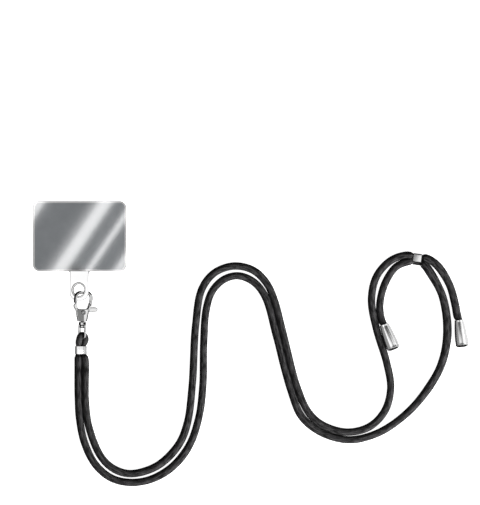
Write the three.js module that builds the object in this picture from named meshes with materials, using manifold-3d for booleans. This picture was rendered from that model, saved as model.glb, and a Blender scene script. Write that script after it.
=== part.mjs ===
// A crossbody strap: one long braided cord doubled through a swivel clasp, a crimped band below the
// clasp, an adjuster band with two loose tails in metal end caps, and the clear tether card, hooked on
// by its tab.
// Millimetres, +Z up. The strap lies on the plane z = 0, and the origin is the middle of the card's
// underside. +Y runs from the card's tab to its far edge, and +X across the strap.

import * as THREE from 'three';
import Module from 'manifold-3d';
import { mergeVertices } from 'three/addons/utils/BufferGeometryUtils.js';

// Tether card, a soft clear sheet
const CARD_WIDTH = 60;
const CARD_HEIGHT = 45;
const CARD_THICKNESS = 0.7;
const CARD_CORNER = 4;
const TAB_X = -0.2;
const TAB_WIDTH = 12.2;
const TAB_LENGTH = 18.9;
const TAB_CORNER = 5;
const TAB_FILLET = 1.7;
const TAB_TWIST = THREE.MathUtils.degToRad(20);
const TAB_RAMP_STEPS = 8;

// Eyelet in the tab
const EYELET_OUTER_R = 5.1;
const EYELET_INNER_R = 3.8;
const EYELET_Y = -34.7;
const EYELET_FROM_END = 6.7;
const EYELET_FLANGE = 0.25;
const EYELET_BARREL_WALL = 0.45;
const EYELET_LIP = 0.4;

// Clasp: the hook, its gate and the rivet lie in one flat plane, rolled about the swivel axis
const SWIVEL_X = 1.9;
const SWIVEL_Z = 4.2;
const CLASP_ROLL = THREE.MathUtils.degToRad(20);
const HOOK_WIRE_R = 1.0;
const HOOK_ABOVE_TAB = 0.5;
const BODY_TOP_Y = -46.9;
const BODY_BASE_Y = -54.9;
const BODY_SHOULDER = 4.4;
const BODY_BASE = 3.0;
const BODY_THICKNESS = 4.2;
const BODY_BEVEL = 0.9;
const BODY_ROUND = 1.2;
const SHOULDER_THICKNESS = 3.2;
const SHOULDER_BEVEL = 0.2;
const SHOULDER_BRIDGE = 1.1;
const SHOULDER_ROOT = 1.5;
const SHOULDER_FLARE = 0.8;
const SHOULDER_HOLLOW = 0.7;
const SHOULDER_INNER = 0.1;
const RIVET_Y = -49.1;
const RIVET_PIN_R = 0.8;
const RIVET_HEAD_R = 1.65;
const RIVET_HEAD = 0.45;
const GATE_THICKNESS = 1.1;
const GATE_ARM_THICKNESS = 1.8;
const GATE_HUB_R = 2;
const GATE_TIP_R = 7.6;
const GATE_ARM_OUTER = 5.85;
const GATE_ARM_INNER = 4;
const GATE_ARM_BEND = 3;
const GATE_ARM_ROOT = 1;
const GATE_ARM_FOOT = 1.4;
const GATE_ARM_LEAN = 0.7;
const THUMB_REACH = 10.5;
const THUMB_WIDTH = 2.9;
const THUMB_RISE = 3.2;
const THUMB_ROOT = 0.9;
const SLOT_TOP_Y = -45.4;
const SLOT_BOTTOM_Y = -51.8;

// Swivel: the post ends in a peened head inside the eye that turns on it
const POST_R = 1.1;
const POST_ROOT = 1;
const POST_HEAD_R = 1.9;
const POST_HEAD = 1.7;
const CROWN_R = 2.4;
const CROWN_LENGTH = 2;
const EYE_WIRE_R = 0.8;
const EYE_HALF_WIDTH = 3.2;
const EYE_LENGTH = 10.6;
const EYE_CORNER = 1.6;
const EYE_ROOT = 0.35;
const EYE_ROLL = THREE.MathUtils.degToRad(54);

// Cord, bands and end caps
const CORD_DIAMETER = 4.4;
const CORD_PINCHED = 3.1;
const CORD_SIDES = 10;
const PINCH_RUN = 6;
const BAND_LENGTH = 5;
const BAND_WALL = 0.45;
const BAND_CORNER = 1.3;
const STRAND_GAP = 0.1;
const BIGHT_DROP = 0.4;
const CAP_LENGTH = 17.3;
const CAP_MOUTH_R = 2.95;
const CAP_BASE_R = 4.2;
const CAP_BULGE = 0.3;
const CAP_EDGE = 0.7;
const CAP_SOCKET = 8;
const CAP_FLANK_STEPS = 5;

// Clearances between pieces
const FIT = 0.3;
const CRIMP_FIT = 0.15;
const SLOT_FIT = 0.2;

// Middle of the hook's wire, from inside the body's right shoulder round to its nose: x across the
// clasp from the swivel axis, and y along it
const HOOK_LINE = [
  [4.3, -47.2], [5.15, -44.4], [5.85, -42], [6.1, -40], [5.7, -38.1],
  [4.5, -36.7], [2.6, -35.95], [0.3, -35.8], [-2.3, -36.1], [-3.9, -37.1],
  [-4.75, -38.9], [-4.95, -40.8], [-4.95, -44.4],
];

// Routes of the cord's two legs, from the band below the clasp to the end caps: x and y along the
// middle of the cord, chosen by hand. Both lie on the surface, and only the last points rise.
const BAND_CENTRE = [0.9, -73.4];
const ADJUSTER_CENTRE = [217.6, -14.9];
const ADJUSTER_HEADING = THREE.MathUtils.degToRad(-7);
const LEFT_CAP_MOUTH = [196.1, -56.8];
const LEFT_CAP_BASE = [202.7, -73.0];
const RIGHT_CAP_MOUTH = [244.5, -54.0];
const RIGHT_CAP_BASE = [246.6, -71.1];
const LEFT_ROUTE = [
  [-0.7, -73.6], [-0.85, -79.0], [-0.8, -104.0], [0.0, -117.2], [3.0, -132.4],
  [10.3, -147.2], [20.8, -156.0], [33.4, -158.7], [46.9, -156.3], [60.1, -148.3],
  [70.6, -135.0], [76.9, -116.7], [79.5, -95.9], [80.0, -70.1], [81.7, -47.0],
  [85.9, -34.8], [93.9, -27.4], [102.9, -25.6], [112.6, -29.8], [119.7, -39.1],
  [126.7, -63.6], [135.8, -98.1], [143.3, -116.4], [156.0, -126.6], [173.7, -131.2],
  [192.5, -126.7], [210.2, -114.7], [223.7, -99.4], [233.3, -82.2], [237.0, -61.8],
  [234.0, -39.2], [226.4, -24.0], [222.7, -19.0], [219.9, -16.9], [214.9, -16.2],
  [210.3, -16.8], [203.7, -20.0], [196.8, -30.5], [193.5, -44.3], [194.6, -53.8],
];
const RIGHT_ROUTE = [
  [2.5, -73.6], [2.8, -76.9], [3.7, -80.4], [3.7, -104.0], [5.9, -122.3],
  [14.0, -142.3], [22.6, -150.2], [33.4, -153.0], [50.3, -147.8], [63.6, -134.7],
  [69.4, -120.6], [72.6, -95.9], [74.8, -57.2], [78.8, -34.1], [87.1, -23.5],
  [99.6, -19.2], [112.1, -22.1], [120.7, -30.5], [125.7, -41.7], [131.3, -63.1],
  [140.2, -97.3], [147.6, -113.6], [156.3, -121.5], [171.8, -126.2], [186.7, -122.8],
  [196.7, -112.5], [200.5, -97.9], [197.9, -81.3], [191.2, -59.2], [188.1, -40.5],
  [191.6, -25.5], [200.8, -15.5], [210.4, -12.2], [215.3, -12.9], [220.3, -13.6],
  [224.6, -14.6], [231.0, -19.4], [238.5, -31.5], [242.3, -45.1], [243.4, -51.1],
];

// Materials
const clearSheet = new THREE.MeshStandardMaterial({ color: 0xd9dcdb, roughness: 0.25, metalness: 0 });
const nickel = new THREE.MeshStandardMaterial({ color: 0xc9cacb, roughness: 0.12, metalness: 1 });
const rivetMetal = new THREE.MeshStandardMaterial({ color: 0xb4b5b7, roughness: 0.2, metalness: 1 });
const bandMetal = new THREE.MeshStandardMaterial({ color: 0xc2c3c2, roughness: 0.32, metalness: 1 });
const capMetal = new THREE.MeshStandardMaterial({ color: 0xcfcfcd, roughness: 0.28, metalness: 1 });
const braid = new THREE.MeshStandardMaterial({ color: 0x1f1f21, roughness: 0.85, metalness: 0 });

// Points closer than this are one point
const MERGE_DISTANCE = 1e-4;

const wasm = await Module();
wasm.setup();

// A closed mesh as a solid that can be joined and cut. A turned piece has slivers of no area on its
// axis, and those are left out.
function toSolid(geometry) {
  const bare = geometry.clone();
  bare.deleteAttribute('normal');
  bare.deleteAttribute('uv');
  const merged = mergeVertices(bare, MERGE_DISTANCE);
  const corners = merged.index.array;
  const kept = [];
  for (let i = 0; i < corners.length; i += 3) {
    const [a, b, c] = corners.slice(i, i + 3);
    if (a !== b && b !== c && c !== a) {
      kept.push(a, b, c);
    }
  }
  return new wasm.Manifold(new wasm.Mesh({
    numProp: 3,
    vertProperties: new Float32Array(merged.attributes.position.array),
    triVerts: new Uint32Array(kept),
  }));
}

function toGeometry(solid) {
  const mesh = solid.getMesh();
  const geometry = new THREE.BufferGeometry();
  geometry.setAttribute('position', new THREE.BufferAttribute(mesh.vertProperties, 3));
  geometry.setIndex(new THREE.BufferAttribute(mesh.triVerts, 1));
  return geometry;
}

function named(name, geometry, material) {
  const mesh = new THREE.Mesh(geometry, material.clone());
  mesh.name = name;
  return mesh;
}

// A smooth line through chosen points whose rings fall evenly between those points, so that a tight
// bend, where the points are close together, gets short steps
class Route extends THREE.CatmullRomCurve3 {
  getPointAt(u, target) {
    return this.getPoint(u, target);
  }

  getTangentAt(u, target) {
    return this.getTangent(u, target);
  }
}

// A round bar along a route
function sweep(route, radius, sides, steps) {
  const section = new THREE.Shape().absarc(0, 0, radius, 0, 2 * Math.PI);
  return new THREE.ExtrudeGeometry(section, {
    steps, extrudePath: route, curveSegments: sides / 2, bevelEnabled: false,
  });
}

// A drawn outline as plain points, without the repeats where one curve starts at another's end
function outlinePoints(outline, curveSegments) {
  const points = outline.getPoints(curveSegments);
  return points.filter((point, i) => point.distanceTo(points[(i + 1) % points.length]) > MERGE_DISTANCE);
}

// A flat plate of an outline in x and y, its middle plane at z = 0
function plate(outline, thickness, bevel, curveSegments = 8) {
  const geometry = new THREE.ExtrudeGeometry(new THREE.Shape(outlinePoints(outline, curveSegments)), {
    depth: thickness - 2 * bevel,
    bevelEnabled: bevel > 0,
    bevelThickness: bevel,
    bevelSize: bevel,
    bevelOffset: -bevel,
    bevelSegments: 3,
  });
  return geometry.translate(0, 0, bevel - thickness / 2);
}

// A turned piece: radius and height pairs that run up the outside, turned about +Y
function turned(profile, segments = 24) {
  const points = profile.map(([radius, height]) => new THREE.Vector2(radius, height));
  return new THREE.LatheGeometry(points, segments);
}

// Turns a drawn section so that its x and y become y and z, and its depth runs along x
const standing = new THREE.Matrix4().makeBasis(
  new THREE.Vector3(0, 1, 0), new THREE.Vector3(0, 0, 1), new THREE.Vector3(1, 0, 0),
);

// Tether card

// The eyelet hangs on the hook, and the pad is placed from it. The tab rises until the hook's middle
// passes just above it at the eyelet.
const tabEndY = EYELET_Y - EYELET_FROM_END;
const padBaseY = tabEndY + TAB_LENGTH;
const padTopY = padBaseY + CARD_HEIGHT;
const rampEndY = EYELET_Y + EYELET_OUTER_R + FIT;
const hookZ = SWIVEL_Z + (SWIVEL_X - TAB_X) * Math.tan(CLASP_ROLL);
const tabRise = hookZ - HOOK_ABOVE_TAB - CARD_THICKNESS / 2;

// How far the tab has risen and turned at a height y: 0 on the pad, 1 at the eyelet
function tabBend(y) {
  return 1 - THREE.MathUtils.smoothstep(y, rampEndY, padBaseY);
}

function cardOutline() {
  const right = CARD_WIDTH / 2;
  const tabLeft = TAB_X - TAB_WIDTH / 2;
  const tabRight = TAB_X + TAB_WIDTH / 2;
  const quarter = Math.PI / 2;
  const outline = new THREE.Shape();
  outline.moveTo(CARD_CORNER - right, padBaseY);
  outline.absarc(tabLeft - TAB_FILLET, padBaseY - TAB_FILLET, TAB_FILLET, quarter, 0, true);
  outline.absarc(tabLeft + TAB_CORNER, tabEndY + TAB_CORNER, TAB_CORNER, 2 * quarter, 3 * quarter, false);
  outline.absarc(tabRight - TAB_CORNER, tabEndY + TAB_CORNER, TAB_CORNER, 3 * quarter, 4 * quarter, false);
  outline.absarc(tabRight + TAB_FILLET, padBaseY - TAB_FILLET, TAB_FILLET, 2 * quarter, quarter, true);
  outline.absarc(right - CARD_CORNER, padBaseY + CARD_CORNER, CARD_CORNER, 3 * quarter, 4 * quarter, false);
  outline.absarc(right - CARD_CORNER, padTopY - CARD_CORNER, CARD_CORNER, 0, quarter, false);
  outline.absarc(CARD_CORNER - right, padTopY - CARD_CORNER, CARD_CORNER, quarter, 2 * quarter, false);
  outline.absarc(CARD_CORNER - right, padBaseY + CARD_CORNER, CARD_CORNER, 2 * quarter, 3 * quarter, false);
  const hole = new THREE.Path();
  hole.absarc(TAB_X, EYELET_Y, EYELET_INNER_R + EYELET_BARREL_WALL + CRIMP_FIT, 0, 4 * quarter, true);
  outline.holes.push(hole);
  return outline;
}

// The sheet seen from its side, in y and z: flat under the pad, then a smooth rise to the tab
function cardSide() {
  const stations = [padTopY + CARD_CORNER];
  for (let i = 0; i <= TAB_RAMP_STEPS; i += 1) {
    stations.push(THREE.MathUtils.lerp(padBaseY, rampEndY, i / TAB_RAMP_STEPS));
  }
  stations.push(tabEndY - TAB_CORNER);
  const under = stations.map((y) => new THREE.Vector2(y, tabRise * tabBend(y)));
  const over = under.map((point) => new THREE.Vector2(point.x, point.y + CARD_THICKNESS));
  return new THREE.Shape([...under, ...over.reverse()]);
}

function card() {
  const depth = tabRise + 2 * CARD_THICKNESS;
  const flat = new THREE.ExtrudeGeometry(cardOutline(), { depth, bevelEnabled: false, curveSegments: 10 });
  flat.translate(0, 0, -CARD_THICKNESS / 2);
  const side = new THREE.ExtrudeGeometry(cardSide(), { depth: 2 * CARD_WIDTH, bevelEnabled: false });
  side.translate(0, 0, -CARD_WIDTH);
  side.applyMatrix4(standing);
  const sheet = toGeometry(toSolid(flat).intersect(toSolid(side)));
  const place = sheet.attributes.position;
  for (let i = 0; i < place.count; i += 1) {
    const twist = (place.getX(i) - TAB_X) * Math.tan(TAB_TWIST) * tabBend(place.getY(i));
    place.setZ(i, place.getZ(i) + twist);
  }
  return named('card', sheet, clearSheet);
}

// A rolled metal ring whose two flanges hold the sheet between them
function eyelet() {
  const half = CARD_THICKNESS / 2 + CRIMP_FIT + EYELET_FLANGE;
  const groove = CARD_THICKNESS / 2 + CRIMP_FIT;
  const barrel = EYELET_INNER_R + EYELET_BARREL_WALL;
  const geometry = turned([
    [EYELET_INNER_R, EYELET_LIP - half],
    [EYELET_INNER_R + EYELET_LIP, -half],
    [EYELET_OUTER_R, -half],
    [EYELET_OUTER_R, -groove],
    [barrel, -groove],
    [barrel, groove],
    [EYELET_OUTER_R, groove],
    [EYELET_OUTER_R, half],
    [EYELET_INNER_R + EYELET_LIP, half],
    [EYELET_INNER_R, half - EYELET_LIP],
    [EYELET_INNER_R, EYELET_LIP - half],
  ], 32);
  const mesh = named('eyelet', geometry.rotateX(Math.PI / 2), nickel);
  mesh.position.set(TAB_X, EYELET_Y, tabRise + CARD_THICKNESS / 2);
  mesh.rotation.y = -TAB_TWIST;
  return mesh;
}

// Clasp, in its own plane: x across it from the swivel axis, y along it, z through it

// The nose is cut to an arc about the rivet, so that the gate's tip swings past it
function hookBow() {
  const points = HOOK_LINE.map(([x, y]) => new THREE.Vector3(x, y, 0));
  const wire = toSolid(sweep(new Route(points), HOOK_WIRE_R, 12, 3 * (points.length - 1)));
  const tipPath = new THREE.CylinderGeometry(GATE_TIP_R + FIT, GATE_TIP_R + FIT, 4 * HOOK_WIRE_R, 64)
    .rotateX(Math.PI / 2).translate(0, RIVET_Y, 0);
  const gateSide = new THREE.BoxGeometry(GATE_TIP_R, 2 * GATE_TIP_R, 4 * HOOK_WIRE_R)
    .translate(-GATE_ARM_INNER / 2 - GATE_TIP_R / 2, RIVET_Y + GATE_TIP_R, 0);
  return wire.subtract(toSolid(tipPath).intersect(toSolid(gateSide)));
}

function bodyOutline() {
  const shoulderY = BODY_TOP_Y - BODY_ROUND;
  const outline = new THREE.Shape();
  outline.moveTo(-BODY_BASE, BODY_BASE_Y);
  outline.lineTo(BODY_BASE, BODY_BASE_Y);
  outline.lineTo(BODY_SHOULDER, shoulderY);
  outline.quadraticCurveTo(BODY_SHOULDER, BODY_TOP_Y, BODY_BASE, BODY_TOP_Y);
  outline.lineTo(-BODY_BASE, BODY_TOP_Y);
  outline.quadraticCurveTo(-BODY_SHOULDER, BODY_TOP_Y, -BODY_SHOULDER, shoulderY);
  return outline;
}

// Where the fixed arm grows out of the body's right shoulder, with a hollow curve inside the hook
function shoulderOutline() {
  const top = SLOT_TOP_Y + SHOULDER_BRIDGE;
  const outline = new THREE.Shape();
  outline.moveTo(BODY_BASE / 3, BODY_TOP_Y - SHOULDER_ROOT);
  outline.lineTo(BODY_SHOULDER, BODY_TOP_Y - SHOULDER_ROOT);
  outline.quadraticCurveTo(
    BODY_SHOULDER + SHOULDER_FLARE, BODY_TOP_Y, BODY_SHOULDER + 2 * SHOULDER_FLARE, top,
  );
  outline.lineTo(BODY_SHOULDER - SHOULDER_INNER, top);
  outline.quadraticCurveTo(BODY_SHOULDER - SHOULDER_HOLLOW, BODY_TOP_Y, BODY_BASE / 3, BODY_TOP_Y);
  return outline;
}

// Post below the body, with the head that the eye turns against
function swivelPost() {
  const crownEnd = BODY_BASE_Y - FIT - CROWN_LENGTH;
  const headTop = crownEnd - FIT;
  const round = POST_HEAD / 3;
  return turned([
    [0, headTop - POST_HEAD],
    [POST_HEAD_R - 2 * round, headTop - POST_HEAD],
    [POST_HEAD_R, headTop - POST_HEAD + 2 * round],
    [POST_HEAD_R, headTop],
    [POST_R, headTop],
    [POST_R, BODY_BASE_Y + POST_ROOT],
    [0, BODY_BASE_Y + POST_ROOT],
  ], 16);
}

function pinHole(length) {
  return turned([
    [0, -length],
    [RIVET_PIN_R + SLOT_FIT, -length],
    [RIVET_PIN_R + SLOT_FIT, length],
    [0, length],
  ], 16).rotateX(Math.PI / 2).translate(0, RIVET_Y, 0);
}

function claspHook() {
  const slot = new THREE.BoxGeometry(
    4 * BODY_SHOULDER, SLOT_TOP_Y - SLOT_BOTTOM_Y, GATE_THICKNESS + 2 * SLOT_FIT,
  ).translate(0, (SLOT_TOP_Y + SLOT_BOTTOM_Y) / 2, 0);
  const body = toSolid(plate(bodyOutline(), BODY_THICKNESS, BODY_BEVEL))
    .add(toSolid(plate(shoulderOutline(), SHOULDER_THICKNESS, SHOULDER_BEVEL)))
    .add(toSolid(swivelPost()))
    .add(hookBow())
    .subtract(toSolid(slot))
    .subtract(toSolid(pinHole(BODY_THICKNESS)));
  return named('clasp_hook', toGeometry(body), nickel);
}

// A point on the gate's tip, on its arc about the rivet
function tipPoint(x) {
  return new THREE.Vector2(x, RIVET_Y + Math.sqrt(GATE_TIP_R ** 2 - x ** 2));
}

// Closes an arm's outline along the arc, from its inner corner to its outer one
function closeTip(outline) {
  const inner = Math.acos(-GATE_ARM_INNER / GATE_TIP_R);
  const outer = Math.acos(-GATE_ARM_OUTER / GATE_TIP_R);
  outline.absarc(0, RIVET_Y, GATE_TIP_R, inner, outer, false);
  return outline;
}

// The lever: a thin plate that turns on the rivet, a thicker arm that closes the mouth of the hook,
// and the thumb tab that pulls it open
function leverOutline() {
  const thumbTop = RIVET_Y + THUMB_RISE;
  const thumbBottom = thumbTop - THUMB_WIDTH;
  const thumbRound = THUMB_WIDTH / 2;
  const outer = tipPoint(-GATE_ARM_OUTER);
  const outline = new THREE.Shape();
  outline.moveTo(outer.x, outer.y);
  outline.quadraticCurveTo(
    -GATE_ARM_OUTER, RIVET_Y + GATE_ARM_BEND, -BODY_SHOULDER, RIVET_Y + GATE_ARM_ROOT,
  );
  outline.absarc(0, RIVET_Y, GATE_HUB_R, -0.8 * Math.PI, -0.2 * Math.PI, false);
  outline.lineTo(BODY_SHOULDER, thumbBottom);
  outline.absarc(THUMB_REACH - thumbRound, thumbTop - thumbRound, thumbRound, -Math.PI / 2, Math.PI / 2, false);
  outline.lineTo(BODY_SHOULDER + THUMB_ROOT, thumbTop);
  outline.lineTo(0, RIVET_Y + GATE_HUB_R);
  outline.lineTo(GATE_ARM_FOOT - GATE_ARM_INNER, RIVET_Y + GATE_HUB_R + FIT);
  const inner = tipPoint(-GATE_ARM_INNER);
  outline.quadraticCurveTo(-GATE_ARM_INNER, RIVET_Y + 2 * GATE_HUB_R, inner.x, inner.y);
  return closeTip(outline);
}

function armOutline() {
  const armEnd = BODY_TOP_Y + FIT;
  const outer = tipPoint(-GATE_ARM_OUTER);
  const inner = tipPoint(-GATE_ARM_INNER);
  const outline = new THREE.Shape();
  outline.moveTo(outer.x, outer.y);
  outline.quadraticCurveTo(-GATE_ARM_OUTER, armEnd + 2 * GATE_ARM_LEAN, GATE_ARM_LEAN - GATE_ARM_OUTER, armEnd);
  outline.lineTo(GATE_ARM_LEAN - GATE_ARM_INNER, armEnd);
  outline.quadraticCurveTo(-GATE_ARM_INNER, armEnd + 2 * GATE_ARM_LEAN, inner.x, inner.y);
  return closeTip(outline);
}

function gate() {
  const lever = toSolid(plate(leverOutline(), GATE_THICKNESS, 0))
    .add(toSolid(plate(armOutline(), GATE_ARM_THICKNESS, 0)))
    .subtract(toSolid(pinHole(GATE_THICKNESS)));
  return named('gate', toGeometry(lever), nickel);
}

function gateRivet() {
  const seat = BODY_THICKNESS / 2 + CRIMP_FIT;
  const top = seat + RIVET_HEAD;
  const dimple = RIVET_HEAD_R / 3;
  const profile = [
    [0, -top],
    [RIVET_HEAD_R - RIVET_HEAD / 2, -top],
    [RIVET_HEAD_R, -seat - RIVET_HEAD / 2],
    [RIVET_HEAD_R, -seat],
    [RIVET_PIN_R, -seat],
    [RIVET_PIN_R, seat],
    [RIVET_HEAD_R, seat],
    [RIVET_HEAD_R, seat + RIVET_HEAD / 2],
    [RIVET_HEAD_R - RIVET_HEAD / 2, top],
    [dimple, top],
    [0, top - RIVET_HEAD / 2],
  ];
  const geometry = turned(profile, 20).rotateX(Math.PI / 2).translate(0, RIVET_Y, 0);
  return named('gate_rivet', geometry, rivetMetal);
}

function clasp() {
  const group = new THREE.Group();
  group.add(claspHook(), gate(), gateRivet());
  group.position.set(SWIVEL_X, 0, SWIVEL_Z);
  group.rotation.y = CLASP_ROLL;
  return group;
}

// Swivel eye: a ring on the post and a wire loop down to the bar that carries the cord

const crownTop = BODY_BASE_Y - FIT;
const barY = crownTop - EYE_LENGTH;

function swivelEye() {
  const ring = turned([
    [POST_R + FIT, crownTop - CROWN_LENGTH],
    [CROWN_R, crownTop - CROWN_LENGTH],
    [CROWN_R, crownTop],
    [POST_R + FIT, crownTop],
    [POST_R + FIT, crownTop - CROWN_LENGTH],
  ], 20);
  const rootX = (POST_R + FIT + CROWN_R) / 2;
  const rootY = crownTop - CROWN_LENGTH / 2;
  const half = [
    [rootX, rootY],
    [EYE_HALF_WIDTH - EYE_ROOT, rootY - EYE_ROOT],
    [EYE_HALF_WIDTH, rootY - EYE_CORNER],
    [EYE_HALF_WIDTH, (rootY + barY) / 2],
    [EYE_HALF_WIDTH, barY + EYE_CORNER],
    [EYE_HALF_WIDTH - EYE_CORNER / 3, barY + EYE_CORNER / 3],
    [EYE_HALF_WIDTH - EYE_CORNER, barY],
  ];
  const otherHalf = half.map(([x, y]) => [-x, y]).reverse();
  const points = [...half, [0, barY], ...otherHalf].map(([x, y]) => new THREE.Vector3(x, y, 0));
  const loop = sweep(new Route(points), EYE_WIRE_R, 10, 2 * (points.length - 1));
  const mesh = named('swivel_eye', toGeometry(toSolid(ring).add(toSolid(loop))), nickel);
  mesh.position.set(SWIVEL_X, 0, SWIVEL_Z);
  mesh.rotation.y = -EYE_ROLL;
  return mesh;
}

// Cord

const cordZ = CORD_DIAMETER / 2;
const strandSpacing = CORD_PINCHED + STRAND_GAP;

// A leg's route from its band to the end of its socket, straight into the cap's mouth
function legRoute(points, mouth, base) {
  const line = points.map(([x, y]) => new THREE.Vector3(x, y, cordZ));
  const { start, axis } = capPlace(mouth, base);
  line.push(start, start.clone().addScaledVector(axis, CAP_SOCKET - 2 * FIT));
  return new Route(line);
}

// The share of its diameter that the cord keeps at a point: pinched in both bands
function pinch(point) {
  const bandEdge = BAND_LENGTH / 2;
  const distances = [
    Math.hypot(point.x - BAND_CENTRE[0], point.y - BAND_CENTRE[1]) - bandEdge,
    Math.hypot(point.x - ADJUSTER_CENTRE[0], point.y - ADJUSTER_CENTRE[1]) - bandEdge,
  ];
  const beyond = Math.min(...distances);
  const freed = THREE.MathUtils.smoothstep(beyond, 0, PINCH_RUN);
  return THREE.MathUtils.lerp(CORD_PINCHED / CORD_DIAMETER, 1, freed);
}

// Each ring of the leg is drawn in about its own centre where the cord is pinched
function pinchLeg(geometry, route, steps) {
  const centres = route.getSpacedPoints(steps);
  const shares = centres.map(pinch);
  const place = geometry.attributes.position;
  const point = new THREE.Vector3();
  for (let i = 0; i < place.count; i += 1) {
    point.fromBufferAttribute(place, i);
    const distances = centres.map((centre) => centre.distanceToSquared(point));
    const nearest = distances.indexOf(Math.min(...distances));
    point.sub(centres[nearest]).multiplyScalar(shares[nearest]).add(centres[nearest]);
    place.setXYZ(i, point.x, point.y, point.z);
  }
  return geometry;
}

function cordLeg(name, points, mouth, base) {
  const route = legRoute(points, mouth, base);
  const steps = 2 * (route.points.length - 1);
  const tube = sweep(route, CORD_DIAMETER / 2, CORD_SIDES, steps);
  return named(name, pinchLeg(tube, route, steps), braid);
}

// The doubled cord round the eye's bar, pinched thin, with both ends inside the band
function cordBight() {
  const reach = EYE_WIRE_R + FIT + CORD_PINCHED / 2;
  const out = reach * Math.sin(EYE_ROLL);
  const drop = reach * Math.cos(EYE_ROLL);
  const endY = LEFT_ROUTE[0][1] + FIT;
  const bandTopY = BAND_CENTRE[1] + BAND_LENGTH / 2;
  const left = BAND_CENTRE[0] - strandSpacing / 2;
  const right = BAND_CENTRE[0] + strandSpacing / 2;
  const line = [
    [left, endY, cordZ],
    [left, bandTopY, cordZ],
    [SWIVEL_X - out, barY - BIGHT_DROP, SWIVEL_Z + drop],
    [SWIVEL_X - out * 0.7, barY + reach * 0.7, SWIVEL_Z + drop * 0.7],
    [SWIVEL_X, barY + reach, SWIVEL_Z],
    [SWIVEL_X + out * 0.7, barY + reach * 0.7, SWIVEL_Z - drop * 0.7],
    [SWIVEL_X + out, barY - BIGHT_DROP, SWIVEL_Z - drop],
    [right, bandTopY, cordZ],
    [right, endY, cordZ],
  ];
  const route = new Route(line.map(([x, y, z]) => new THREE.Vector3(x, y, z)));
  return named('cord_bight', sweep(route, CORD_PINCHED / 2, CORD_SIDES, 3 * (line.length - 1)), braid);
}

// Bands: a flat oval tube round the two strands, which run along its own x axis

function roundedBox(width, height, corner) {
  const x = width / 2;
  const y = height / 2;
  const quarter = Math.PI / 2;
  const outline = new THREE.Shape();
  outline.absarc(corner - x, corner - y, corner, 2 * quarter, 3 * quarter, false);
  outline.absarc(x - corner, corner - y, corner, 3 * quarter, 4 * quarter, false);
  outline.absarc(x - corner, y - corner, corner, 0, quarter, false);
  outline.absarc(corner - x, y - corner, corner, quarter, 2 * quarter, false);
  return outline;
}

function band(name, [x, y], heading) {
  const innerWidth = strandSpacing + CORD_PINCHED + 2 * CRIMP_FIT;
  const innerHeight = CORD_PINCHED + 2 * CRIMP_FIT;
  const outline = roundedBox(innerWidth + 2 * BAND_WALL, innerHeight + 2 * BAND_WALL, BAND_CORNER + BAND_WALL);
  outline.holes.push(roundedBox(innerWidth, innerHeight, BAND_CORNER));
  const geometry = new THREE.ExtrudeGeometry(outline, {
    depth: BAND_LENGTH, bevelEnabled: false, curveSegments: 4,
  });
  geometry.translate(0, 0, -BAND_LENGTH / 2);
  geometry.applyMatrix4(standing);
  const mesh = named(name, geometry, bandMetal);
  mesh.position.set(x, y, cordZ);
  mesh.rotation.z = heading;
  return mesh;
}

// End caps: long cones with a bulging flank. They lie on their side, so the axis climbs from the
// mouth to the base.

function capPlace(mouth, base) {
  const climb = Math.atan((CAP_BASE_R - CAP_MOUTH_R) / CAP_LENGTH);
  const heading = Math.atan2(base[1] - mouth[1], base[0] - mouth[0]);
  const flat = Math.cos(climb);
  const start = new THREE.Vector3(mouth[0], mouth[1], CAP_MOUTH_R * flat + CAP_BULGE);
  const axis = new THREE.Vector3(Math.cos(heading) * flat, Math.sin(heading) * flat, Math.sin(climb));
  return { start, axis };
}

// The flank's radius at a share of the way from the mouth to the base
function capRadius(share) {
  return THREE.MathUtils.lerp(CAP_MOUTH_R, CAP_BASE_R, share) + 4 * CAP_BULGE * share * (1 - share);
}

function endCap(name, mouth, base) {
  const socketR = CORD_DIAMETER / 2 + CRIMP_FIT;
  const flankLength = CAP_LENGTH - CAP_EDGE;
  const profile = [[0, CAP_SOCKET], [socketR, CAP_SOCKET], [socketR, 0]];
  for (let i = 0; i <= CAP_FLANK_STEPS; i += 1) {
    const share = i / CAP_FLANK_STEPS;
    profile.push([capRadius(share), share * flankLength]);
  }
  profile.push([CAP_BASE_R - CAP_EDGE * 0.3, CAP_LENGTH - CAP_EDGE * 0.3]);
  profile.push([CAP_BASE_R - CAP_EDGE, CAP_LENGTH]);
  profile.push([0, CAP_LENGTH]);
  const geometry = turned(profile);
  const { start, axis } = capPlace(mouth, base);
  const mesh = named(name, geometry, capMetal);
  mesh.position.copy(start);
  mesh.quaternion.setFromUnitVectors(new THREE.Vector3(0, 1, 0), axis);
  return mesh;
}

const strap = new THREE.Group();
strap.add(
  card(),
  eyelet(),
  clasp(),
  swivelEye(),
  cordBight(),
  band('cord_band', BAND_CENTRE, Math.PI / 2),
  cordLeg('cord_left', LEFT_ROUTE, LEFT_CAP_MOUTH, LEFT_CAP_BASE),
  cordLeg('cord_right', RIGHT_ROUTE, RIGHT_CAP_MOUTH, RIGHT_CAP_BASE),
  band('adjuster_band', ADJUSTER_CENTRE, ADJUSTER_HEADING),
  endCap('end_cap_left', LEFT_CAP_MOUTH, LEFT_CAP_BASE),
  endCap('end_cap_right', RIGHT_CAP_MOUTH, RIGHT_CAP_BASE),
);

export default strap;
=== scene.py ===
# %% [markdown]
# # A crossbody strap on a white table
#
# The object is a crossbody strap: a black braided cord that is doubled through the eye of a small
# swivel clasp, two metal bands, two metal end caps and a clear tether card. This lesson dresses its
# plain engineering model. The model's frame is kept: the strap lies on z = 0 and the middle of the
# card's underside is the origin. Objects are made in metres, and lists of chosen points are in
# millimetres.

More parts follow.
